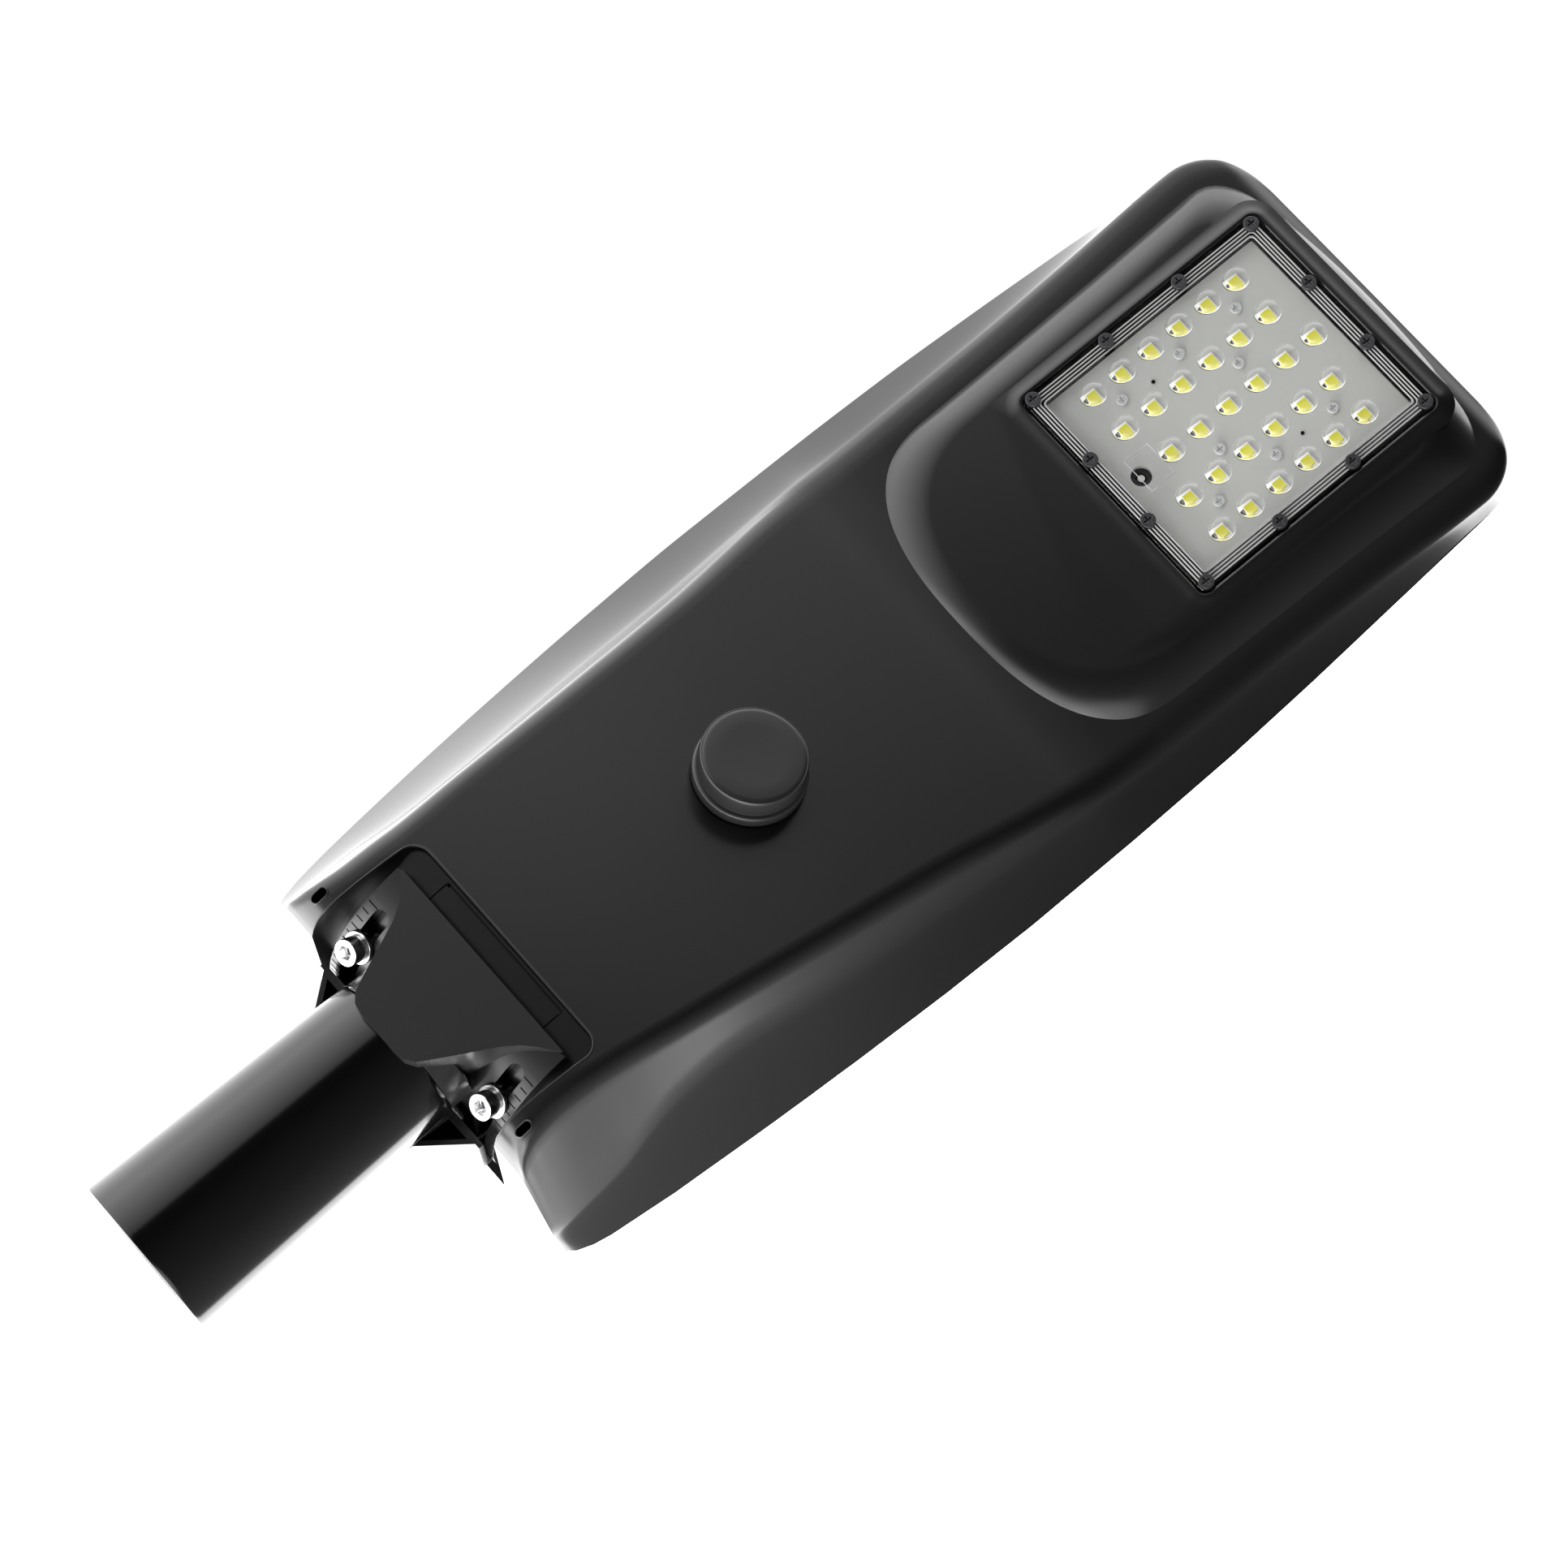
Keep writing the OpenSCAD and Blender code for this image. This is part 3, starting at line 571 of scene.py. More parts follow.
@dataclass(frozen=True)
class Finish:
    """One surface finish, in a maker's terms."""

    name: str
    colour: Place
    second: Place
    roughness: float = 0.4
    spread: float = 0.08
    metal: float = 0.0
    grain: float = 900
    depth: float = 0.02
    drawn: bool = False
    coat: float = 0.0
    dust: float = 0.0
    clear: float = 0.0
    ior: float = 1.5

    def build(self, effects: Effects) -> bpy.types.Material:
        """Builds the material.

        Args:
            effects: The shared node groups.

        Returns:
            The finished material.
        """
        material = bpy.data.materials.new(self.name)
        material.use_nodes = True
        tree = material.node_tree
        shader = tree.nodes["Principled BSDF"]
        shader.inputs["Metallic"].default_value = self.metal
        shader.inputs["IOR"].default_value = self.ior
        shader.inputs["Coat Weight"].default_value = self.coat
        shader.inputs["Coat Roughness"].default_value = 0.12
        shader.inputs["Transmission Weight"].default_value = self.clear
        effect = tree.nodes.new("ShaderNodeGroup")
        effect.node_tree = effects.lines if self.drawn else effects.grain
        effect.inputs["Roughness"].default_value = self.roughness
        effect.inputs["Spread"].default_value = self.spread
        if not self.drawn:
            effect.inputs["Scale"].default_value = self.grain
        tree.links.new(effect.outputs["Roughness"], shader.inputs["Roughness"])
        bump = tree.nodes.new("ShaderNodeBump")
        bump.inputs["Strength"].default_value = 0.35
        bump.inputs["Distance"].default_value = self.depth * MM
        tree.links.new(effect.outputs["Height"], bump.inputs["Height"])
        tree.links.new(bump.outputs[0], shader.inputs["Normal"])
        shade_of = effect.outputs["Height" if self.drawn else "Shade"]
        colour = blend(tree, shade_of, self.colour, self.second)
        if self.dust:
            film = tree.nodes.new("ShaderNodeGroup")
            film.node_tree = effects.settle
            film.inputs["Amount"].default_value = self.dust
            colour = blend(tree, film.outputs["Mask"], colour, DUST_COLOUR)
        tree.links.new(colour, shader.inputs["Base Color"])
        if self.clear:
            self.let_light_through(tree, shader)
        return material

    @staticmethod
    def let_light_through(tree: Tree, shader: bpy.types.Node) -> None:
        """Lets soft light pass straight through a clear material to what lies behind it.

        Args:
            tree: The material's node tree.
            shader: Its main shader.
        """
        path = tree.nodes.new("ShaderNodeLightPath")
        share = maths(tree, "MAXIMUM", path.outputs["Is Shadow Ray"], path.outputs["Is Diffuse Ray"])
        open_air = tree.nodes.new("ShaderNodeBsdfTransparent")
        mix_shaders(tree, share, shader, open_air, tree.nodes["Material Output"].inputs["Surface"])


FINISHES = (
    Finish("tube_gloss", (0.0012, 0.0012, 0.0012), (0.002, 0.002, 0.002), 0.14, 0.03, depth=0.004, grain=500),
    Finish("cast_black", (0.006, 0.006, 0.006), (0.008, 0.008, 0.008), 0.26, 0.05, depth=0.012, grain=1400),
    Finish("cast_charcoal", (0.0072, 0.0072, 0.0072), (0.0088, 0.0088, 0.0088), 0.23, 0.04, depth=0.008,
           grain=1500, dust=0.15),
    Finish("bright_steel", (0.86, 0.86, 0.87), (0.78, 0.78, 0.79), 0.2, 0.1, 1.0, drawn=True, depth=0.006),
    Finish("dark_screw", (0.10, 0.10, 0.105), (0.07, 0.07, 0.075), 0.32, 0.12, 0.9, depth=0.01),
    Finish("steel", (0.72, 0.73, 0.74), (0.6, 0.61, 0.62), 0.22, 0.1, 1.0, depth=0.006),
    Finish("anodised", (0.42, 0.425, 0.43), (0.36, 0.365, 0.37), 0.34, 0.14, 1.0, drawn=True, depth=0.01,
           dust=0.1),
    Finish("solar_glass", (0.9, 0.95, 0.97), (0.86, 0.92, 0.95), 0.04, 0.02, depth=0.0004, clear=1.0,
           ior=1.5, grain=1200),
    Finish("silicon", (0.006, 0.009, 0.026), (0.010, 0.014, 0.042), 0.3, 0.08, 0.15, depth=0.0008, coat=0.15),
    Finish("backsheet", (0.8, 0.8, 0.79), (0.74, 0.74, 0.73), 0.55, 0.08),
    Finish("rubber", (0.012, 0.012, 0.012), (0.02, 0.02, 0.02), 0.62, 0.1, depth=0.03, grain=1200),
    Finish("clear_pc", (0.97, 0.98, 0.975), (0.95, 0.965, 0.96), 0.03, 0.02, depth=0.0015, clear=1.0,
           ior=1.46, grain=700),
    Finish("light_board", (0.46, 0.46, 0.44), (0.4, 0.4, 0.385), 0.36, 0.1, depth=0.01, grain=1400),
    Finish("phosphor", (0.66, 0.62, 0.05), (0.58, 0.53, 0.035), 0.45, 0.1, depth=0.02, grain=3000),
    Finish("thermal", (0.34, 0.35, 0.37), (0.3, 0.31, 0.33), 0.75, 0.1, depth=0.03),
    Finish("sensor_black", (0.013, 0.013, 0.0135), (0.018, 0.018, 0.018), 0.34, 0.06, depth=0.01, grain=2200),
    Finish("green_board", (0.012, 0.13, 0.045), (0.009, 0.1, 0.034), 0.34, 0.1, depth=0.012),
    Finish("component", (0.03, 0.03, 0.032), (0.045, 0.045, 0.05), 0.5, 0.12, depth=0.02),
    Finish("terminal", (0.04, 0.27, 0.1), (0.035, 0.23, 0.085), 0.42, 0.08),
    Finish("cell_wrap", (0.035, 0.15, 0.4), (0.03, 0.13, 0.34), 0.28, 0.08, coat=0.3),
    Finish("holder", (0.022, 0.022, 0.024), (0.03, 0.03, 0.032), 0.5, 0.1),
    Finish("nickel", (0.66, 0.65, 0.6), (0.58, 0.57, 0.53), 0.3, 0.14, 1.0, drawn=True),
    Finish("tray", (0.62, 0.63, 0.64), (0.54, 0.55, 0.56), 0.38, 0.14, 1.0, drawn=True),
    Finish("red_lead", (0.42, 0.025, 0.02), (0.36, 0.02, 0.016), 0.42, 0.08),
    Finish("white_lead", (0.72, 0.72, 0.7), (0.64, 0.64, 0.62), 0.42, 0.08),
    Finish("ceramic", (0.78, 0.78, 0.75), (0.7, 0.7, 0.67), 0.3, 0.1, depth=0.01),
    # dark_mark: near black for the emitter terminals and locating pins; on the saddle's tilt marks it is painted
    # shade for the engraved grooves.
    Finish("dark_mark", (0.004, 0.004, 0.004), (0.006, 0.006, 0.006), 0.7, 0.1, ior=1.1),
    # silver_line: real silver for the cell ribbons; on the clear cover's outline it is a painted highlight.
    Finish("silver_line", (0.55, 0.55, 0.56), (0.46, 0.46, 0.47), 0.35, 0.1, 0.9),
    Finish("frosted", (0.36, 0.365, 0.36), (0.3, 0.305, 0.3), 0.25, 0.08, depth=0.006),
    Finish("zinc", (0.62, 0.62, 0.62), (0.5, 0.5, 0.5), 0.4, 0.1, 0.35, depth=0.01),
)


class Workshop:
    """Holds the finishes and hands each finished piece over to its body."""

    def __init__(self) -> None:
        """Builds every finish once and dresses the CAD nodes by their record slot."""
        effects = Effects()
        self.materials: Dict[str, bpy.types.Material] = {f.name: f.build(effects) for f in FINISHES}
        for part in frame["record"]["subparts"]:
            self.dress(frame["nodes"][part["node"]], part["material_slot"])

    def dress(self, piece: Piece, finish: str) -> None:
        """Gives a piece one finish all over.

        Args:
            piece: The piece or CAD node.
            finish: The finish's name.
        """
        piece.data.materials.clear()
        piece.data.materials.append(self.materials[finish])

    def hand_over(self, piece: Piece, body: Body, finish: str,
                  slot: Optional[str] = None) -> None:
        """Dresses a piece, lets it ride on its body and reports it.

        Args:
            piece: The finished piece.
            body: The body that it rides on.
            finish: The finish's name.
            slot: The record's slot, if its name isn't the finish's; not used.
        """
        self.dress(piece, finish)
        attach(piece, body.value)
        log.info("%s rides on %s, %d faces", piece.name, body.value, len(piece.data.polygons))


    def add(self, bm: Mesh, name: str, finish: str, slot: Optional[str] = None,
            body: Body = Body.HEAD, node: Optional[str] = None, degrees: Optional[float] = 32,
            place: Optional[Matrix] = None) -> None:
        """Turns a mesh into a piece, shades it and hands it over.

        Args:
            bm: The mesh in millimetres, which is freed.
            name: The name of the new piece.
            finish: The finish's name.
            slot: The record's slot, if its name isn't the finish's.
            body: The body that it rides on.
            node: The CAD node that it stands for.
            degrees: Edges that turn more than this stay sharp; none leaves the piece flat.
            place: Where the shape goes in the row frame, in millimetres.
        """
        piece = to_object(bm, name, place)
        if degrees is not None:
            shade(piece, degrees)
        if node:
            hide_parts(node)
        self.hand_over(piece, body, finish, slot)

    def add_copy(self, node: str, name: str, width: float, finish: str, slot: Optional[str] = None,
                 body: Body = Body.HEAD, degrees: float = 34) -> None:
        """Copies a CAD node with softened edges and hands it over.

        Args:
            node: The CAD node to copy.
            name: The name of the new piece.
            width: The width of the edge rounding in millimetres.
            finish: The finish's name.
            slot: The record's slot, if its name isn't the finish's.
            body: The body that it rides on.
            degrees: Edges that turn less than this are left alone.
        """
        self.hand_over(copy_node(node, name, width, degrees), body, finish, slot)


# ---------------------------------------------------------------- the head casting

@dataclass
class HeadCasting:
    """The die-cast lower shell: a tapered tray with a rolled light pad and a tilt recess."""

    shop: Workshop
    tail: float = 115.5
    nose: float = 576.0
    nose_round: float = 25.0
    rim_z: float = 45.0
    wall: float = 3.0
    seat_centre: Point = (163.8, 21.7)
    seat_radius: float = 41.5
    recess_half: float = 50.0
    recess_front: float = 164.5
    recess_top: float = 42.5
    recess_corner: float = 7.0
    module_x: float = 502.6
    lead_x: float = -42.6
    pad_z: float = 25.0
    stations: List[float] = field(default_factory=list)
    belly: Curve = Curve([(115.5, -10), (117, -15.5), (120, -20.5), (124, -23.8), (130, -25.3),
                          (138, -25.7), (150, -24.9), (163, -22.2), (278, 7.3), (356, 25.6), (370, 29),
                          (385, 31.5), (400, 32.6), (568, 33), (576, 36.5)])
    crease: Curve = Curve([(115.5, 64.5), (120, 61.6), (128, 59.6), (140, 58.4), (155, 58.6), (191, 61.6),
                           (250, 66.5), (300, 71), (350, 77), (400, 79.5), (450, 80.3), (500, 82.5),
                           (551, 85.3), (576, 85.3)])
    fold: Curve = Curve([(115.5, 77.8), (135, 76.8), (150, 75.6), (165, 72.6), (180, 70.6), (200, 70.1),
                         (225, 72), (250, 74.3), (300, 77.3), (350, 80.8), (400, 82.8), (450, 83.4),
                         (500, 85.2), (551, 87.6), (576, 87.6)])
    fold_up: Curve = Curve([(115.5, 31), (135, 25), (150, 21.5), (165, 16), (180, 12), (200, 10.5),
                            (225, 14), (250, 18.5), (300, 25), (350, 29), (400, 32), (551, 34.5),
                            (576, 36)])
    rim: Curve = Curve([(115.5, 78), (117, 81.5), (120, 84), (126, 86.2), (133, 87.6), (160, 90.6),
                        (223, 95.2), (280, 97.8), (321, 98.8), (370, 98.6), (419, 97.6), (460, 95.6),
                        (503, 92.9), (551, 89.8), (576, 89.8)])

    def cut_back(self, x: float) -> float:
        """How far the rounded front corners take the sides in.

        Args:
            x: The place along the head.

        Returns:
            The distance in millimetres.
        """
        u = max(0.0, x - (self.nose - self.nose_round))
        return self.nose_round - math.sqrt(max(0.0, self.nose_round ** 2 - u * u))

    def half_section(self, x: float, inset: float) -> List[Point]:
        """Half the head's section: belly, crease, fold and hollow flare up to the rim.

        Args:
            x: The place along the head.
            inset: How far inside the skin the section lies.

        Returns:
            Points as distance from the middle and height.
        """
        cut = self.cut_back(x)
        low = self.belly(x) + inset
        crease = self.crease(x) - cut - inset
        fold = self.fold(x) - cut - inset * 1.2
        rim = self.rim(x) - cut - inset * 1.2
        up = max(self.fold_up(x), low + 2.2)
        turn = Vector((crease, low + 0.5))
        bend = Vector((fold, up))
        rise = bend - turn
        reach = min(5.0, 0.42 * rise.length)

        def flare(t: float) -> Vector:
            """A point of the hollow flare."""
            return Vector((fold + (rim - fold) * t, up + (self.rim_z - up) * t ** 0.82))

        points = [Vector((crease - 4.5, low + 0.2))]
        flat = [Vector(((crease - 4.5) * i / 22, low + 0.2 * (i / 22) ** 2)) for i in range(22)]
        points = flat + points
        points += self.arc(points[-1], turn, turn + rise.normalized() * reach, 7)
        leave = bend - rise.normalized() * reach
        points += [points[-1].lerp(leave, i / 9) for i in range(1, 10)]
        points += self.arc(leave, bend, flare(0.1), 7)
        points += [flare(0.1 + 0.9 * i / 22) for i in range(1, 23)]
        return [(p.x, p.y) for p in points]

    @staticmethod
    def arc(start: Vector, corner: Vector, end: Vector, steps: int) -> List[Vector]:
        """Rounds a corner between two points.

        Args:
            start: Where the rounding begins.
            corner: The corner itself.
            end: Where the rounding ends.
            steps: How many steps it takes.

        Returns:
            The points after the start, up to the end.
        """
        return [start.lerp(corner, i / steps).lerp(corner.lerp(end, i / steps), i / steps)
                for i in range(1, steps + 1)]

    def shell(self, stations: Sequence[float], inset: float, top: float) -> Mesh:
        """The closed solid inside one skin of the head.

        Args:
            stations: Places along the head.
            inset: How far inside the outer skin it lies.
            top: The height of its flat top.

        Returns:
            The closed mesh.
        """
        halves = [self.half_section(x, inset) for x in stations]
        count = len(halves[0])
        across = 2 * count - 2
        bm = bmesh.new()
        grid = bmesh.ops.create_grid(bm, x_segments=across, y_segments=len(stations) - 1, size=1)["verts"]
        grid.sort(key=lambda v: (round(v.co.y, 5), round(v.co.x, 5)))
        for index, vert in enumerate(grid):
            row, column = divmod(index, across + 1)
            side = column - (count - 1)
            y, z = halves[row][abs(side)]
            if abs(side) == count - 1:
                z = top
            vert.co = (stations[row], math.copysign(y, side) if side else 0.0, z)
        ends = [(grid[0], grid[across]), (grid[-1 - across], grid[-1])]
        chords = [bm.edges.new(pair) for pair in ends]
        rows = [grid[:across + 1], grid[-1 - across:]]
        for row, chord in zip(rows, chords):
            rim = [bm.edges.get(pair) for pair in zip(row, row[1:])]
            bmesh.ops.contextual_create(bm, geom=rim + [chord])
        for column in (0, across):
            rim = [grid[r * (across + 1) + column] for r in range(len(stations))]
            chords += [bm.edges.get(pair) for pair in zip(rim, rim[1:])]
        bmesh.ops.contextual_create(bm, geom=chords)
        seal(bm, 0.0005)
        return bm

    def pad_loop(self, inward: float, z: float, count: int = 180) -> List[Place]:
        """The outline of the light pad, moved inwards.

        Args:
            inward: How far it is moved in.
            z: Its height.
            count: How many points it has.

        Returns:
            The points in order.
        """
        rear, width, power = 368.5 + inward, 72.0 - inward, 2.5
        half = []
        for i in range(61):
            a = math.radians(90 * i / 60)
            half.append(Vector((rear + 50 * (1 - math.cos(a) ** (2 / power)),
                                width * math.sin(a) ** (2 / power))))
        front = 573.4 - inward
        side = Vector((front - 9, width + 4.0))
        half += [Vector((440, width + 0.3)), Vector((500, width + 1.6)), Vector((front - 22, width + 3.5))]
        half += self.arc(half[-1], side, Vector((front - 4.2, width - 14)), 12)
        half += [Vector((front - 4.2 * (1 - i / 12) ** 2, (width - 14) * (1 - i / 12))) for i in range(1, 13)]
        whole = half + [Vector((p.x, -p.y)) for p in reversed(half[1:-1])]
        lengths = [0.0]
        for a, b in zip(whole, whole[1:] + whole[:1]):
            lengths.append(lengths[-1] + (b - a).length)
        points, j = [], 0
        for i in range(count):
            goal = lengths[-1] * i / count
            while lengths[j + 1] < goal:
                j += 1
            t = (goal - lengths[j]) / max(lengths[j + 1] - lengths[j], 1e-9)
            p = whole[j].lerp(whole[(j + 1) % len(whole)], t)
            points.append((p.x, p.y, z))
        return points

    def pad(self) -> Mesh:
        """The raised light pad with its rolled flank.

        Returns:
            The closed mesh.
        """
        loops = [self.pad_loop(0, 36.4)]
        for i in range(13):
            t = i / 12
            loops.append(self.pad_loop(15 * t, self.pad_z + 9.2 * (1 - t) ** 2.1))
        return ringed(loops)

    def lens_lip(self) -> Mesh:
        """The raised round lip that frames the light module.

        Returns:
            The closed mesh.
        """
        profile = ((0, 28), (0, 23.9), (0.25, 23.5), (0.7, 23.25), (1.3, 23.2), (2.1, 23.4), (3.1, 23.85),
                   (4.2, 24.35), (5.6, 24.8), (7.5, 25.15), (7.5, 28))
        loops = [rounded_loop(57.5 + d, 50.5 + d, 3 + d, z, self.module_x) for d, z in profile]
        return ringed(loops, closed=True)

    def recess(self) -> Piece:
        """The space of the tilt recess, with the round seat left standing in it.

        Returns:
            The cutter.
        """
        loops = []
        for z in (-60.0, self.recess_top):
            loop = []
            inner = Vector((self.recess_front - self.recess_corner, self.recess_half - self.recess_corner))
            loop.append((90.0, -self.recess_half, z))
            for sign in (-1, 1):
                for i in range(9):
                    a = math.radians(90 * i / 8) if sign > 0 else math.radians(90 - 90 * i / 8)
                    x = inner.x + self.recess_corner * math.cos(a)
                    y = inner.y + self.recess_corner * math.sin(a)
                    loop.append((x, sign * y, z))
            loop.append((90.0, self.recess_half, z))
            loops.append(loop)
        space = to_object(ringed(loops), "recess_space")
        drum = spun([(0, -70), (self.seat_radius, -70), (self.seat_radius, 70), (0, 70)], 144)
        seat = Matrix.Translation((self.seat_centre[0], 0, self.seat_centre[1]))
        lie = seat @ Matrix.Rotation(math.pi / 2, 4, "X")
        combine(space, to_object(drum, "seat_drum", lie), Action.CUT)
        return space

    def slits(self) -> Mesh:
        """The joint line and its two end steps on the round seat, and the drain holes.

        Returns:
            One mesh of small cutters.
        """
        parts = [block(161.6, 162.9, -31, 31, -24, -18.1)]
        parts += [block(152, 162.9, s * 31 - 0.25, s * 31 + 0.25, -24, -17.9) for s in (-1, 1)]
        for side in (-1, 1):
            loops = [self.drain_loop(side, z) for z in (-32, -12)]
            parts.append(ringed(loops))
        return gather(parts)

    def drain_loop(self, side: int, z: float) -> List[Place]:
        """The outline of one oblong drain hole.

        Args:
            side: Minus one or one.
            z: Its height.

        Returns:
            The points in order.
        """
        points = []
        for i in range(24):
            a = math.tau * i / 24
            shift = 1.45 if math.cos(a) >= 0 else -1.45
            points.append((125.3 + shift + 1.85 * math.cos(a), side * 55.7 + 1.85 * math.sin(a), z))
        return points

    def skin_z(self, x: float, y: float) -> float:
        """The height of the belly's flat part at one place.

        Args:
            x: The place along the head.
            y: The distance from its middle.

        Returns:
            The height.
        """
        return self.belly(x) + 0.2 * min(1.0, abs(y) / (self.crease(x) - 4.5)) ** 2

    def build(self) -> None:
        """Builds the casting, its round-edge beads and dresses them."""
        tail = [self.tail + 20 * (i / 26) ** 1.6 for i in range(26)]
        middle = [135.5 + (551 - 135.5) * i / 150 for i in range(150)]
        nose = [551 + 25 * math.sin(math.radians(90 * i / 24)) for i in range(25)]
        self.stations = tail + middle + nose
        casting = to_object(self.shell(self.stations, 0, self.rim_z), "head_casting")
        combine(casting, to_object(self.pad(), "pad"), Action.ADD)
        inner = [119 + 7 * i / 4 for i in range(4)] + [126 + (551 - 126) * i / 60 for i in range(60)]
        inner += [551 + 21.5 * math.sin(math.radians(90 * i / 10)) for i in range(11)]
        cavity = to_object(self.shell(inner, self.wall, self.rim_z + 1), "cavity")
        keep = block(80, self.recess_front + self.wall, -self.recess_half - self.wall,
                     self.recess_half + self.wall, -60, 60)
        combine(cavity, to_object(keep, "recess_block"), Action.CUT)
        floor = block(435, self.nose + 5, -70, 70, 10, 31.2)
        combine(cavity, to_object(floor, "module_floor"), Action.CUT)
        combine(casting, cavity, Action.CUT)
        combine(casting, to_object(self.lens_lip(), "lip"), Action.ADD)
        pocket = ringed([rounded_loop(57.5, 50.5, 3, z, self.module_x) for z in (18, 26)])
        combine(casting, to_object(pocket, "pocket"), Action.CUT)
        deep = ringed([rounded_loop(51.5, 44.5, 2, z, self.module_x) for z in (22, 28.8)])
        combine(casting, to_object(deep, "deep"), Action.CUT)
        combine(casting, self.recess(), Action.CUT)
        combine(casting, to_object(self.slits(), "slits"), Action.CUT)
        hole = spun([(0, -10), (13.1, -10), (13.1, 10), (0, 10)], 48)
        place = Sensor.frame_at(self.belly(Sensor.x))
        combine(casting, to_object(hole, "stem_hole", place), Action.CUT)
        lead = spun([(0, 20), (4, 20), (4, 40), (0, 40)], 32)
        place = Matrix.Translation((self.module_x + self.lead_x, 0, 0))
        combine(casting, to_object(lead, "lead_hole", place), Action.CUT)
        shade(casting, 30)
        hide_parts("lower_housing")
        self.shop.hand_over(casting, Body.HEAD, "cast_charcoal")
        self.build_beads()

    def build_beads(self) -> None:
        """Adds the fine rounded lines round the recess and the drain holes."""
        line = []
        side_y = self.recess_half + 0.15
        front_x = self.recess_front + 0.15
        r = self.recess_corner
        xs = [self.tail + 1.5 + (front_x - r - self.tail - 1.5) * i / 40 for i in range(41)]
        line += [(x, -side_y, self.skin_z(x, side_y) - 0.02) for x in xs]
        for i in range(1, 9):
            a = math.radians(90 * i / 8)
            x, y = front_x - r + r * math.sin(a), side_y - r + r * math.cos(a)
            line.append((x, -y, self.skin_z(x, y) - 0.02))
        line += [(x, -y, z) for x, y, z in reversed(line)]
        edge = bead("recess_edge", line, 0.42, closed=False)
        self.shop.hand_over(edge, Body.HEAD, "cast_charcoal")
        for side, word in ((-1, "left"), (1, "right")):
            rim = [(x, y, self.skin_z(x, y) + 0.05) for x, y, _ in self.drain_loop(side, 0)]
            ring = bead(f"drain_rim_{word}", rim, 0.3)
            self.shop.hand_over(ring, Body.HEAD, "cast_charcoal")


# ---------------------------------------------------------------- the light module

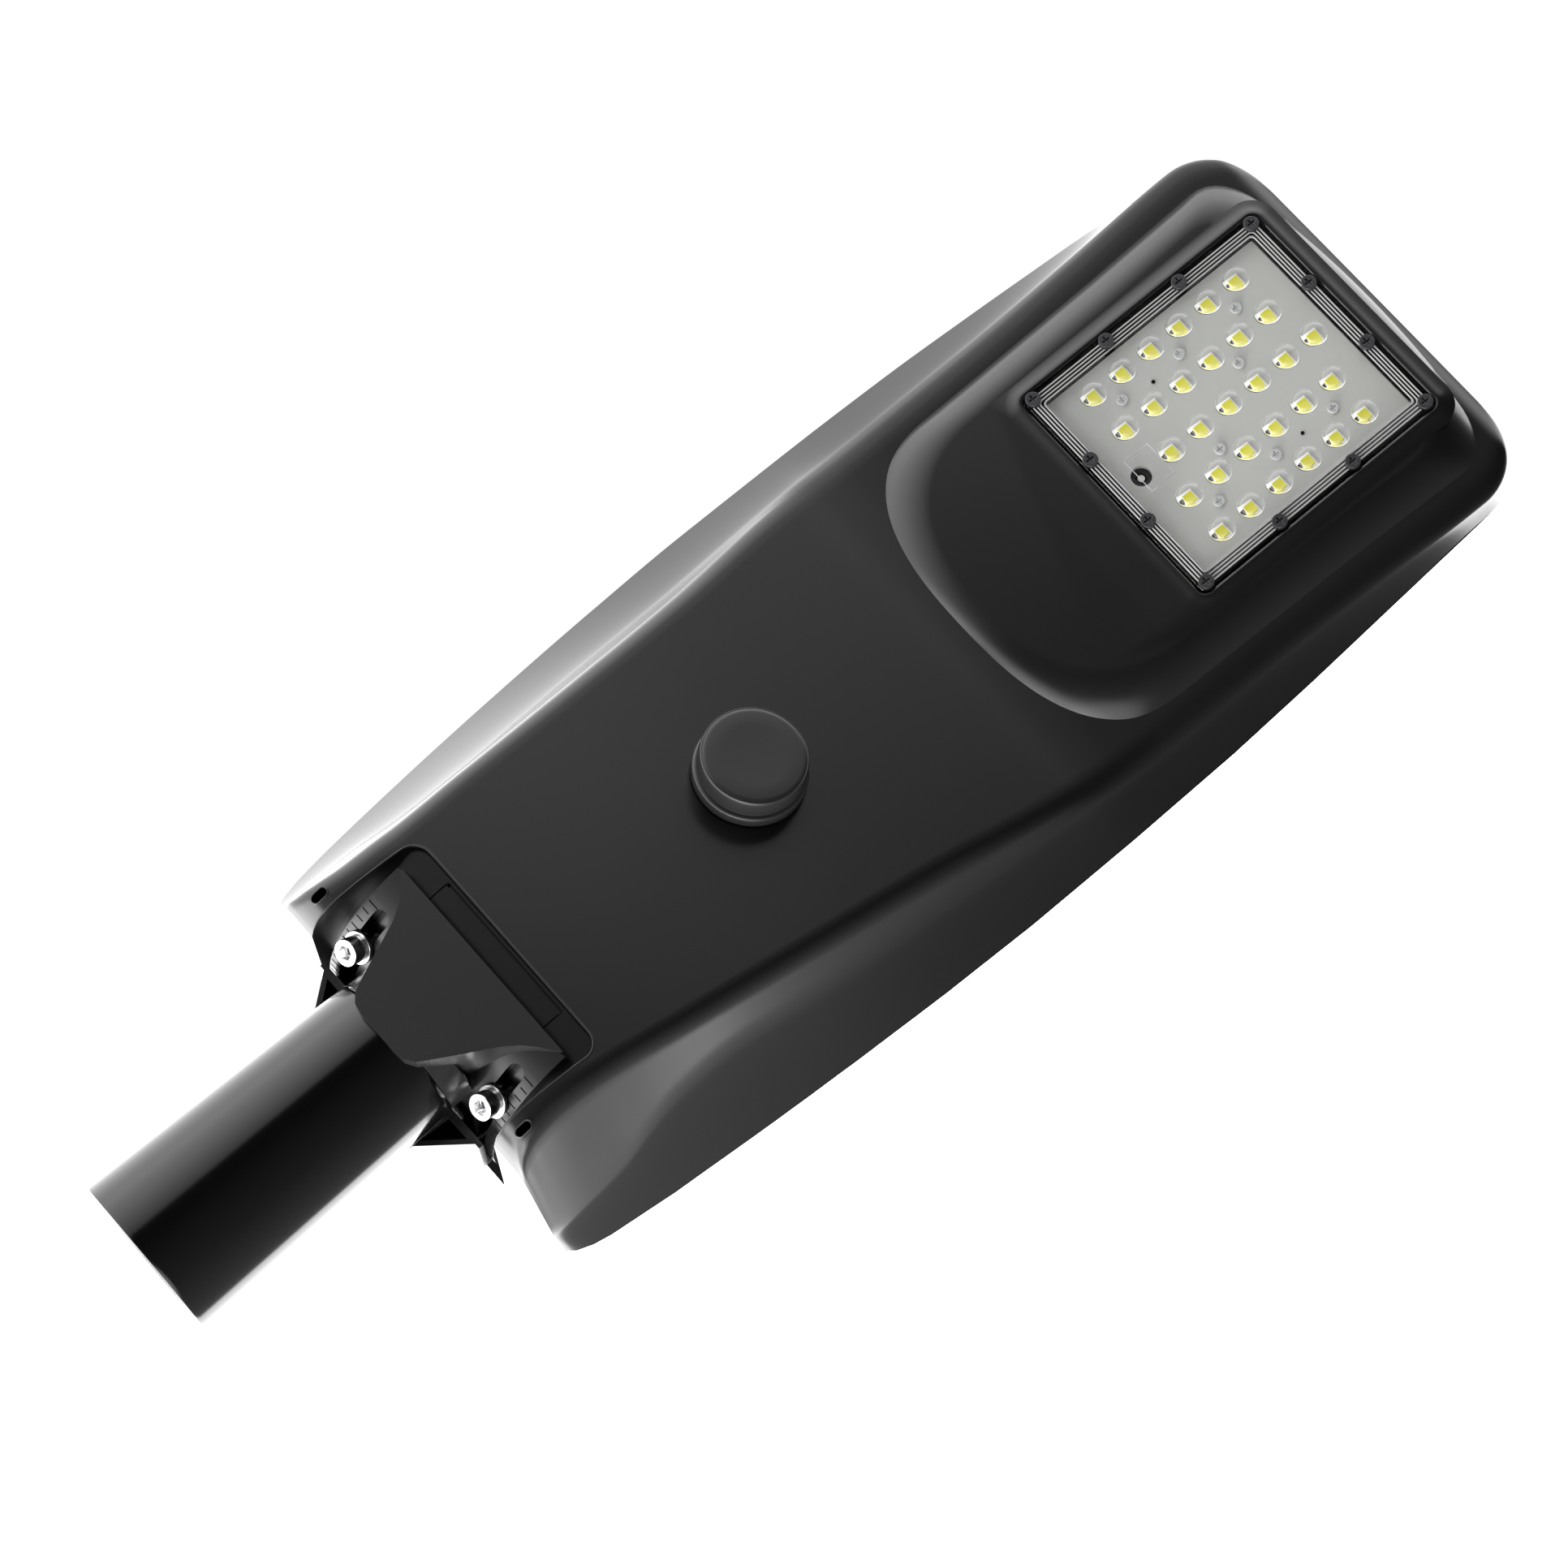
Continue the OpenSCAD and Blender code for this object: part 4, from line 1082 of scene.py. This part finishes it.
@dataclass
class LightModule:
    """The clear cover with its bubble optics, the emitters and their screws."""

    shop: Workshop
    centre: float = 502.6
    pitch: Point = (14.0, 17.6)
    face_z: float = 23.6
    back_z: float = 26.0
    board_z: float = 26.7

    def emitters(self) -> List[Point]:
        """Where the emitters stand.

        Returns:
            Their places in millimetres.
        """
        spots = []
        for row in range(-2, 3):
            for column in range(6):
                shift = self.pitch[0] / 2 if row == 0 else 0
                spots.append((self.centre + (column - 2.5) * self.pitch[0] + shift, row * self.pitch[1]))
        return spots

    def cover(self) -> Piece:
        """The clear cover: a thick border, a thin window, and bubbles over the emitters.

        Returns:
            The finished piece.
        """
        profile = [(0.2, self.back_z), (0, self.back_z - 0.2), (0, self.face_z + 0.5), (0.5, self.face_z)]
        profile += [(6.5, self.face_z + 0.12), (6.9, self.face_z + 0.25), (7.0, self.face_z + 0.5)]
        piece = to_object(ringed([rounded_loop(57 - p, 50 - p, max(3 - p, 0.8), z, self.centre)
                                  for p, z in profile]), "lens_cover")
        hollow = ringed([rounded_loop(50.4, 43.4, 1.2, z, self.centre)
                         for z in (self.face_z + 1.3, self.back_z + 1)])
        combine(piece, to_object(hollow, "hollow"), Action.CUT)
        domes = []
        for x, y in self.emitters():
            stretch = Matrix.Translation((x, y, self.face_z + 0.8)) @ Matrix.Diagonal((1.04, 0.94, 1, 1))
            dome = spun([(0, 0.2), (5.2, 0.2), (5.2, -0.35), (5.0, -1.2), (4.4, -2.2), (3.4, -3.05),
                         (2.2, -3.5), (1.1, -3.62), (0, -3.65)], 28)
            bmesh.ops.transform(dome, matrix=stretch, verts=dome.verts)
            domes.append(dome)
        combine(piece, to_object(gather(domes), "domes"), Action.ADD)
        shade(piece, 40)
        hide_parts("lens_plate")
        return piece

    def ribs(self) -> None:
        """Builds the fine ribs that run round the cover's border."""
        rings = []
        for i in range(4):
            inset = 1.5 + 1.3 * i
            profile = ((0, 0.02), (0, -0.2), (0.12, -0.32), (0.48, -0.32), (0.6, -0.2), (0.6, 0.02))
            loops = [rounded_loop(57 - inset - p, 50 - inset - p, 1.6, self.face_z + z, self.centre)
                     for p, z in profile]
            rings.append(ringed(loops, closed=True))
        self.shop.add(gather(rings), "cover_ribs", "frosted", "clear_pc", degrees=30)

    def packages(self) -> None:
        """Builds the emitter packages: a ceramic body, a phosphor patch and a dark terminal side."""
        bodies, patches, marks = [], [], []
        for x, y in self.emitters():
            bodies.append(block(x - 1.9, x + 1.9, y - 1.9, y + 1.9, self.board_z - 0.55, self.board_z,
                                0.12, 2))
            patches.append(block(x - 1.35, x + 1.45, y - 1.3, y + 1.3, self.board_z - 0.66,
                                 self.board_z - 0.5, 0.05, 1))
            marks.append(block(x - 2.7, x - 1.5, y - 1.0, y + 1.0, self.board_z - 0.6, self.board_z - 0.02,
                               0.05, 1))
        self.shop.add(gather(bodies), "emitter_bodies", "ceramic", "phosphor", node="light_emitters")
        self.shop.add(gather(patches), "emitter_phosphor", "phosphor")
        self.shop.add(gather(marks), "emitter_terminals", "dark_mark", "component")

    def small_marks(self) -> None:
        """Adds the fine outline beside the lead slot and the two locating pins; the outline is a silver bead in
        the clear cover whose colour is a painted highlight.
        """
        x0, x1 = self.centre - 44.3, self.centre - 33.2
        z = self.face_z + 0.42
        points = [(x0, -7.6, z), (x1, -7.6, z), (x1, 7.6, z), (x0, 7.6, z)]
        # Painted highlight: a silver bead inside the clear cover stands in for the light line along its outline.
        outline = bead("cover_outline_painted_highlight", points, 0.16)
        self.shop.hand_over(outline, Body.HEAD, "silver_line", "clear_pc")
        pins = []
        for x, y in ((-14.5, -25), (13, 26)):
            pin = spun([(0, 0), (0.75, 0), (0.75, 0.3), (0.6, 0.45), (0, 0.45)], 24)
            place = Matrix.Translation((self.centre + x, y, self.board_z - 0.45))
            bmesh.ops.transform(pin, matrix=place, verts=pin.verts)
            pins.append(pin)
        self.shop.add(gather(pins), "locating_pins", "dark_mark", "component")

    def build(self) -> None:
        """Builds the module's pieces."""
        self.shop.hand_over(self.cover(), Body.HEAD, "clear_pc")
        self.ribs()
        self.packages()
        self.small_marks()
        self.shop.add_copy("lens_screws", "cover_screws", 0.22, "dark_screw")
        self.shop.add_copy("board_screws", "board_fixings", 0.22, "zinc", "steel")


# ---------------------------------------------------------------- the sensor

@dataclass
class Sensor:
    """The round motion sensor under the belly."""

    shop: Workshop
    x: float = 272.5
    slope: float = 14.0

    @staticmethod
    def frame_at(height: float) -> Matrix:
        """The sensor's own frame: its axis leaves the belly at a right angle.

        Args:
            height: The height of the belly there.

        Returns:
            The frame's matrix in millimetres.
        """
        turn = Matrix.Rotation(math.radians(-Sensor.slope), 4, "Y") @ Matrix.Rotation(math.pi, 4, "X")
        return Matrix.Translation((Sensor.x, 0, height)) @ turn

    def build(self, casting: HeadCasting) -> None:
        """Builds the base ring and the cap.

        Args:
            casting: The head that it is fixed to.
        """
        place = self.frame_at(casting.belly(self.x))
        base = spun([(10.5, -13), (13, -13), (13, 0.9), (20.6, 0.9), (21.0, 1.2), (21.1, 1.7), (21.1, 4.7),
                     (20.9, 5.3), (20.4, 5.7), (19.6, 5.9), (18.4, 5.95), (18.3, 7.9), (10.5, 7.9), (10.5, -13)])
        self.shop.add(base, "sensor_ring", "sensor_black", node="sensor_base", degrees=40, place=place)
        cap = spun([(0, 15.25), (12, 15.3), (17.4, 15.4), (18.3, 15.3), (19.0, 15.0), (19.5, 14.5), (19.7, 13.8),
                    (19.85, 12.6), (20.0, 9.0), (20.0, 7.0), (19.85, 6.6), (19.5, 6.4), (18.9, 6.4), (18.7, 6.8),
                    (18.6, 12.6), (17.4, 13.6), (0, 13.6)])
        self.shop.add(cap, "sensor_lens_cap", "sensor_black", node="sensor_cap", degrees=40, place=place)
        groove = spun([(18.95, 14.98), (19.15, 15.12), (19.35, 14.98), (19.15, 14.84), (18.95, 14.98)])
        bmesh.ops.translate(groove, verts=groove.verts, vec=(0, 0, 0.02))
        self.shop.add(groove, "sensor_cap_edge", "sensor_black", degrees=60, place=place)


# ---------------------------------------------------------------- the arm side

@dataclass
class ArmSide:
    """The pole arm tube, the slotted saddle and what is fixed to them."""

    shop: Workshop
    lean: float = 3.0
    length: float = 114.0
    pivot: Point = (163.8, 21.7)
    saddle_radius: float = 47.6

    def tube(self) -> None:
        """Spins the tapered tube with its thin rounded lip and drills its screw holes."""
        outer = Curve([(0, 32.0), (114, 28.5)])
        profile = [(29.6, 0.35), (30.0, 0.08), (30.5, 0.0), (31.3, 0.0), (31.75, 0.12), (31.97, 0.5)]
        profile += [(outer(z), z) for z in (2, 10, 25, 40, 55, 70, 85, 100, 112.4)]
        profile += [(28.4, 113.3), (28.0, 113.9), (26.0, 114), (26.0, 92), (25.5, 92), (25.5, 14), (26.2, 12),
                    (28.2, 8.6), (29.1, 6), (29.45, 2.5), (29.6, 0.35)]
        piece = to_object(spun(profile, 144), "pole_arm_tube", self.tube_frame())
        drills = []
        for s in (32, 68):
            drill = spun([(0, 0), (4.05, 0), (4.05, 50), (0, 50)], 40)
            turn = Matrix.Translation((0, 0, s)) @ Matrix.Rotation(-math.pi / 2, 4, "Y")
            bmesh.ops.transform(drill, matrix=turn, verts=drill.verts)
            drills.append(drill)
        combine(piece, to_object(gather(drills), "drills", self.tube_frame()), Action.CUT)
        shade(piece, 40)
        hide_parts("arm_tube")
        self.shop.hand_over(piece, Body.ARM, "tube_gloss")

    def tube_frame(self) -> Matrix:
        """The tube's own frame, which leans down towards the head."""
        return Matrix.Rotation(math.radians(90 + self.lean), 4, "Y")

    def scale_marks(self) -> None:
        """Engraved tilt marks beside each slot, as thin dark bars set in the saddle; their near-black colour is
        painted shade for the inside of the engraved grooves.
        """
        bars = []
        for side in (-1, 1):
            for i in range(13):
                angle = 2 + 4.6 * i
                long = i % 3 == 0
                inner, outer = (39.9 if long else 41.6), 44.9
                bar = block(-0.22, 0.22, side * min(inner, outer) if side > 0 else -outer,
                            side * max(inner, outer) if side > 0 else -inner,
                            self.saddle_radius - 0.4, self.saddle_radius + 0.06)
                turn = Matrix.Translation((self.pivot[0], 0, self.pivot[1])) @ Matrix.Rotation(
                    math.radians(270 - angle), 4, "Y")
                bmesh.ops.transform(bar, matrix=turn, verts=bar.verts)
                bars.append(bar)
        # Painted shade: the dark_mark colour on these bars stands in for the shade inside the engraved grooves
        # of the cast saddle.
        self.shop.add(gather(bars), "tilt_marks_painted_groove_shade", "dark_mark", "cast_black", Body.ARM, degrees=None)

    def build(self) -> None:
        """Builds the tube, the saddle, the screws and the marks."""
        self.tube()
        self.shop.add_copy("saddle_adaptor", "slotted_saddle", 0.7, "cast_black", body=Body.ARM, degrees=30)
        self.shop.add_copy("tube_set_screws", "grub_screws", 0.25, "dark_screw", body=Body.ARM)
        self.scale_marks()
        self.shop.add_copy("lock_bolts", "socket_bolts", 0.35, "bright_steel")
        self.shop.add_copy("lock_washers", "bolt_washers", 0.25, "bright_steel")


# ---------------------------------------------------------------- the panel side

@dataclass
class PanelTop:
    """The solar panel in its frame on top of the head."""

    shop: Workshop
    columns: int = 10
    busbars: int = 5

    def build(self) -> None:
        """Builds the frame, the glass, the cells and their silver lines."""
        self.shop.add_copy("top_frame", "panel_frame", 0.5, "anodised", degrees=40)
        self.shop.add_copy("solar_glass", "panel_glass", 0.3, "solar_glass", degrees=40)
        self.shop.add_copy("frame_screws", "frame_fixings", 0.2, "steel")
        low, high = (tuple(c / MM for c in corner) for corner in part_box("solar_cells"))
        pitch = (high[0] - low[0] + 2.4) / self.columns
        wide = 65.0
        wafers, ribbons = [], []
        for column in range(self.columns):
            x0 = low[0] + column * pitch
            for y0 in (1.5, -66.5):
                wafers.append(self.wafer(x0, x0 + pitch - 2.4, y0, y0 + wide, low[2], high[2]))
                for bar in range(self.busbars):
                    y = y0 + wide * (bar + 0.5) / self.busbars
                    end = x0 + pitch - 1.2 if column < self.columns - 1 else x0 + pitch - 2.4
                    ribbons.append(block(x0 - 0.1, end, y - 0.4, y + 0.4, high[2] - 0.05, high[2] + 0.04))
        self.shop.add(gather(wafers), "cell_wafers", "silicon", node="solar_cells", degrees=None)
        self.shop.add(gather(ribbons), "cell_ribbons", "silver_line", "nickel", degrees=None)

    @staticmethod
    def wafer(x0: float, x1: float, y0: float, y1: float, z0: float, z1: float) -> Mesh:
        """One cell with its corners cut off.

        Args:
            x0: Lowest X, with the others in the same way, in millimetres.
            x1: Highest X.
            y0: Lowest Y.
            y1: Highest Y.
            z0: Lowest Z.
            z1: Highest Z.

        Returns:
            The closed mesh.
        """
        bm = block(x0, x1, y0, y1, z0, z1)
        upright = [e for e in bm.edges if abs(e.verts[0].co.z - e.verts[1].co.z) > 0.1]
        bmesh.ops.bevel(bm, geom=upright, offset=4, affect="EDGES", segments=1, profile=0.5, material=-1)
        return bm


# ---------------------------------------------------------------- the studio

@dataclass
class Studio:
    """Camera, light and floor."""

    place: Place = (-0.11585, 0.54985, -1.8953)
    ahead: Place = (0.1964, -0.2675, 0.9433)
    up: Place = (0.6193, -0.7121, -0.3308)
    lens: float = 130.43
    floor_z: float = -2.25
    floor_reach: float = 9000.0
    brightest: float = 10.0
    top_share_cut: float = 0.8
    paper_strength: float = 1.02
    lobes: Tuple[Tuple[Place, float, float, float], ...] = (((-0.93, 0.25, 0.1), 0.55, 0.95, 6.0),
                                                            ((-0.55, 0.72, -0.42), 0.86, 0.98, 2.5))
    panorama: Tuple[Point, ...] = ((-180, 3.0), (-166, 3.6), (-140, 2.6), (-112, 1.0), (-109.4, 0.9),
                                   (-108, 0.05), (-90, 0.04), (-31, 0.13), (0, 0.32), (41.5, 0.5),
                                   (44, 6.5), (66, 6.5), (106, 5.0), (130, 3.2), (180, 3.0))

    def camera(self) -> None:
        """Sets up the camera below the lamp, looking up at it."""
        data = bpy.data.cameras.new("camera")
        data.lens = self.lens
        data.sensor_width = 36
        data.clip_start, data.clip_end = 0.05, 50
        holder = bpy.data.objects.new("camera", data)
        bpy.context.scene.collection.objects.link(holder)
        back = -Vector(self.ahead).normalized()
        right = Vector(self.up).cross(back).normalized()
        top = back.cross(right)
        turn = Matrix((right, top, back)).transposed().to_4x4()
        holder.matrix_world = Matrix.Translation(self.place) @ turn
        bpy.context.scene.camera = holder

    def floor(self) -> None:
        """Lays a large pale floor far below the lamp."""
        bm = bmesh.new()
        bmesh.ops.create_grid(bm, x_segments=24, y_segments=24, size=self.floor_reach)
        plane = to_object(bm, "studio_floor", Matrix.Translation((300, 0, self.floor_z / MM)))
        material = bpy.data.materials.new("floor_paint")
        material.use_nodes = True
        tree = material.node_tree
        shader = tree.nodes["Principled BSDF"]
        shader.inputs["Roughness"].default_value = 0.9
        place = tree.nodes.new("ShaderNodeTexCoord").outputs["Object"]
        tone = blend(tree, noise(tree, place, 1.5, 2), (0.5, 0.5, 0.5), (0.54, 0.54, 0.54))
        tree.links.new(tone, shader.inputs["Base Color"])
        plane.data.materials.append(material)
        plane.visible_diffuse = False
        plane.visible_glossy = False
        plane.visible_transmission = False

    def world(self) -> None:
        """Lights the studio: a white side and top with sharp edges, a rear light, and a dark lower side."""
        world = bpy.data.worlds.new("studio")
        bpy.context.scene.world = world
        world.use_nodes = True
        tree = world.node_tree
        tree.nodes.clear()
        way = tree.nodes.new("ShaderNodeTexCoord").outputs["Generated"]
        split = tree.nodes.new("ShaderNodeSeparateXYZ")
        tree.links.new(way, split.inputs[0])
        turn = maths(tree, "ARCTAN2", split.outputs["Z"], split.outputs["Y"])
        share = maths(tree, "ADD", maths(tree, "DIVIDE", turn, math.tau), 0.5)
        ramp = tree.nodes.new("ShaderNodeValToRGB")
        tree.links.new(share, ramp.inputs[0])
        stops = ramp.color_ramp.elements
        while len(stops) < len(self.panorama):
            stops.new(0.5)
        for stop, (angle, strength) in zip(stops, self.panorama):
            stop.position = angle / 360 + 0.5
            stop.color = (*[strength / self.brightest] * 3, 1)
        total = maths(tree, "MULTIPLY", ramp.outputs["Color"], self.brightest)
        for aim, start, full, strength in self.lobes:
            total = maths(tree, "ADD", total, self.lobe(tree, way, aim, start, full, strength))
        path = tree.nodes.new("ShaderNodeLightPath")
        above = maths(tree, "GREATER_THAN", split.outputs["Z"], 0.25)
        shaded = maths(tree, "MULTIPLY", maths(tree, "MULTIPLY", path.outputs["Is Diffuse Ray"], above),
                       self.top_share_cut)
        total = maths(tree, "MULTIPLY", total, maths(tree, "SUBTRACT", 1.0, shaded))
        light = tree.nodes.new("ShaderNodeBackground")
        tree.links.new(total, light.inputs["Strength"])
        paper = tree.nodes.new("ShaderNodeBackground")
        paper.inputs["Strength"].default_value = self.paper_strength
        for source in (light, paper):
            source.inputs["Color"].default_value = (1, 1, 1, 1)
        out = tree.nodes.new("ShaderNodeOutputWorld")
        mix_shaders(tree, path.outputs["Is Camera Ray"], light, paper, out.inputs["Surface"])

    def rear_lamp(self) -> None:
        """Adds a small soft lamp beside the rear of the head."""
        data = bpy.data.lights.new("rear_lamp", "AREA")
        data.energy = 5
        data.size = 0.15
        lamp = bpy.data.objects.new("rear_lamp", data)
        bpy.context.scene.collection.objects.link(lamp)
        lamp.location = (-0.05, 0.35, -0.05)
        aim = Vector((0.15, 0.08, 0.02)) - lamp.location
        lamp.rotation_euler = aim.to_track_quat("-Z", "Y").to_euler()
        lamp.visible_camera = False
        lamp.visible_glossy = False

    @staticmethod
    def lobe(tree: Tree, way: Socket, aim: Place,
             start: float, full: float, strength: float) -> Socket:
        """One soft patch of studio light round a direction.

        Args:
            tree: The world's node tree.
            way: The direction socket.
            aim: The middle of the patch.
            start: Where the light begins, as a cosine.
            full: Where it is full, as a cosine.
            strength: Its full strength.

        Returns:
            The strength socket.
        """
        dot = tree.nodes.new("ShaderNodeVectorMath")
        dot.operation = "DOT_PRODUCT"
        tree.links.new(way, dot.inputs[0])
        dot.inputs[1].default_value = Vector(aim).normalized()
        ramp = tree.nodes.new("ShaderNodeMapRange")
        ramp.interpolation_type = "SMOOTHSTEP"
        ramp.inputs["From Min"].default_value = start
        ramp.inputs["From Max"].default_value = full
        ramp.inputs["To Max"].default_value = strength
        tree.links.new(dot.outputs["Value"], ramp.inputs["Value"])
        return ramp.outputs["Result"]

    def build(self) -> None:
        """Builds the studio."""
        self.camera()
        self.floor()
        self.world()
        self.rear_lamp()
        view = bpy.context.scene.view_settings
        view.view_transform = "Standard"
        view.look = "None"


def main() -> None:
    """Builds every part of the scene in order."""
    logging.basicConfig(level=logging.INFO, format="%(message)s")
    Studio().build()
    shop = Workshop()
    casting = HeadCasting(shop)
    casting.build()
    Sensor(shop).build(casting)
    LightModule(shop).build()
    ArmSide(shop).build()
    PanelTop(shop).build()


if __name__ == "__main__":
    main()
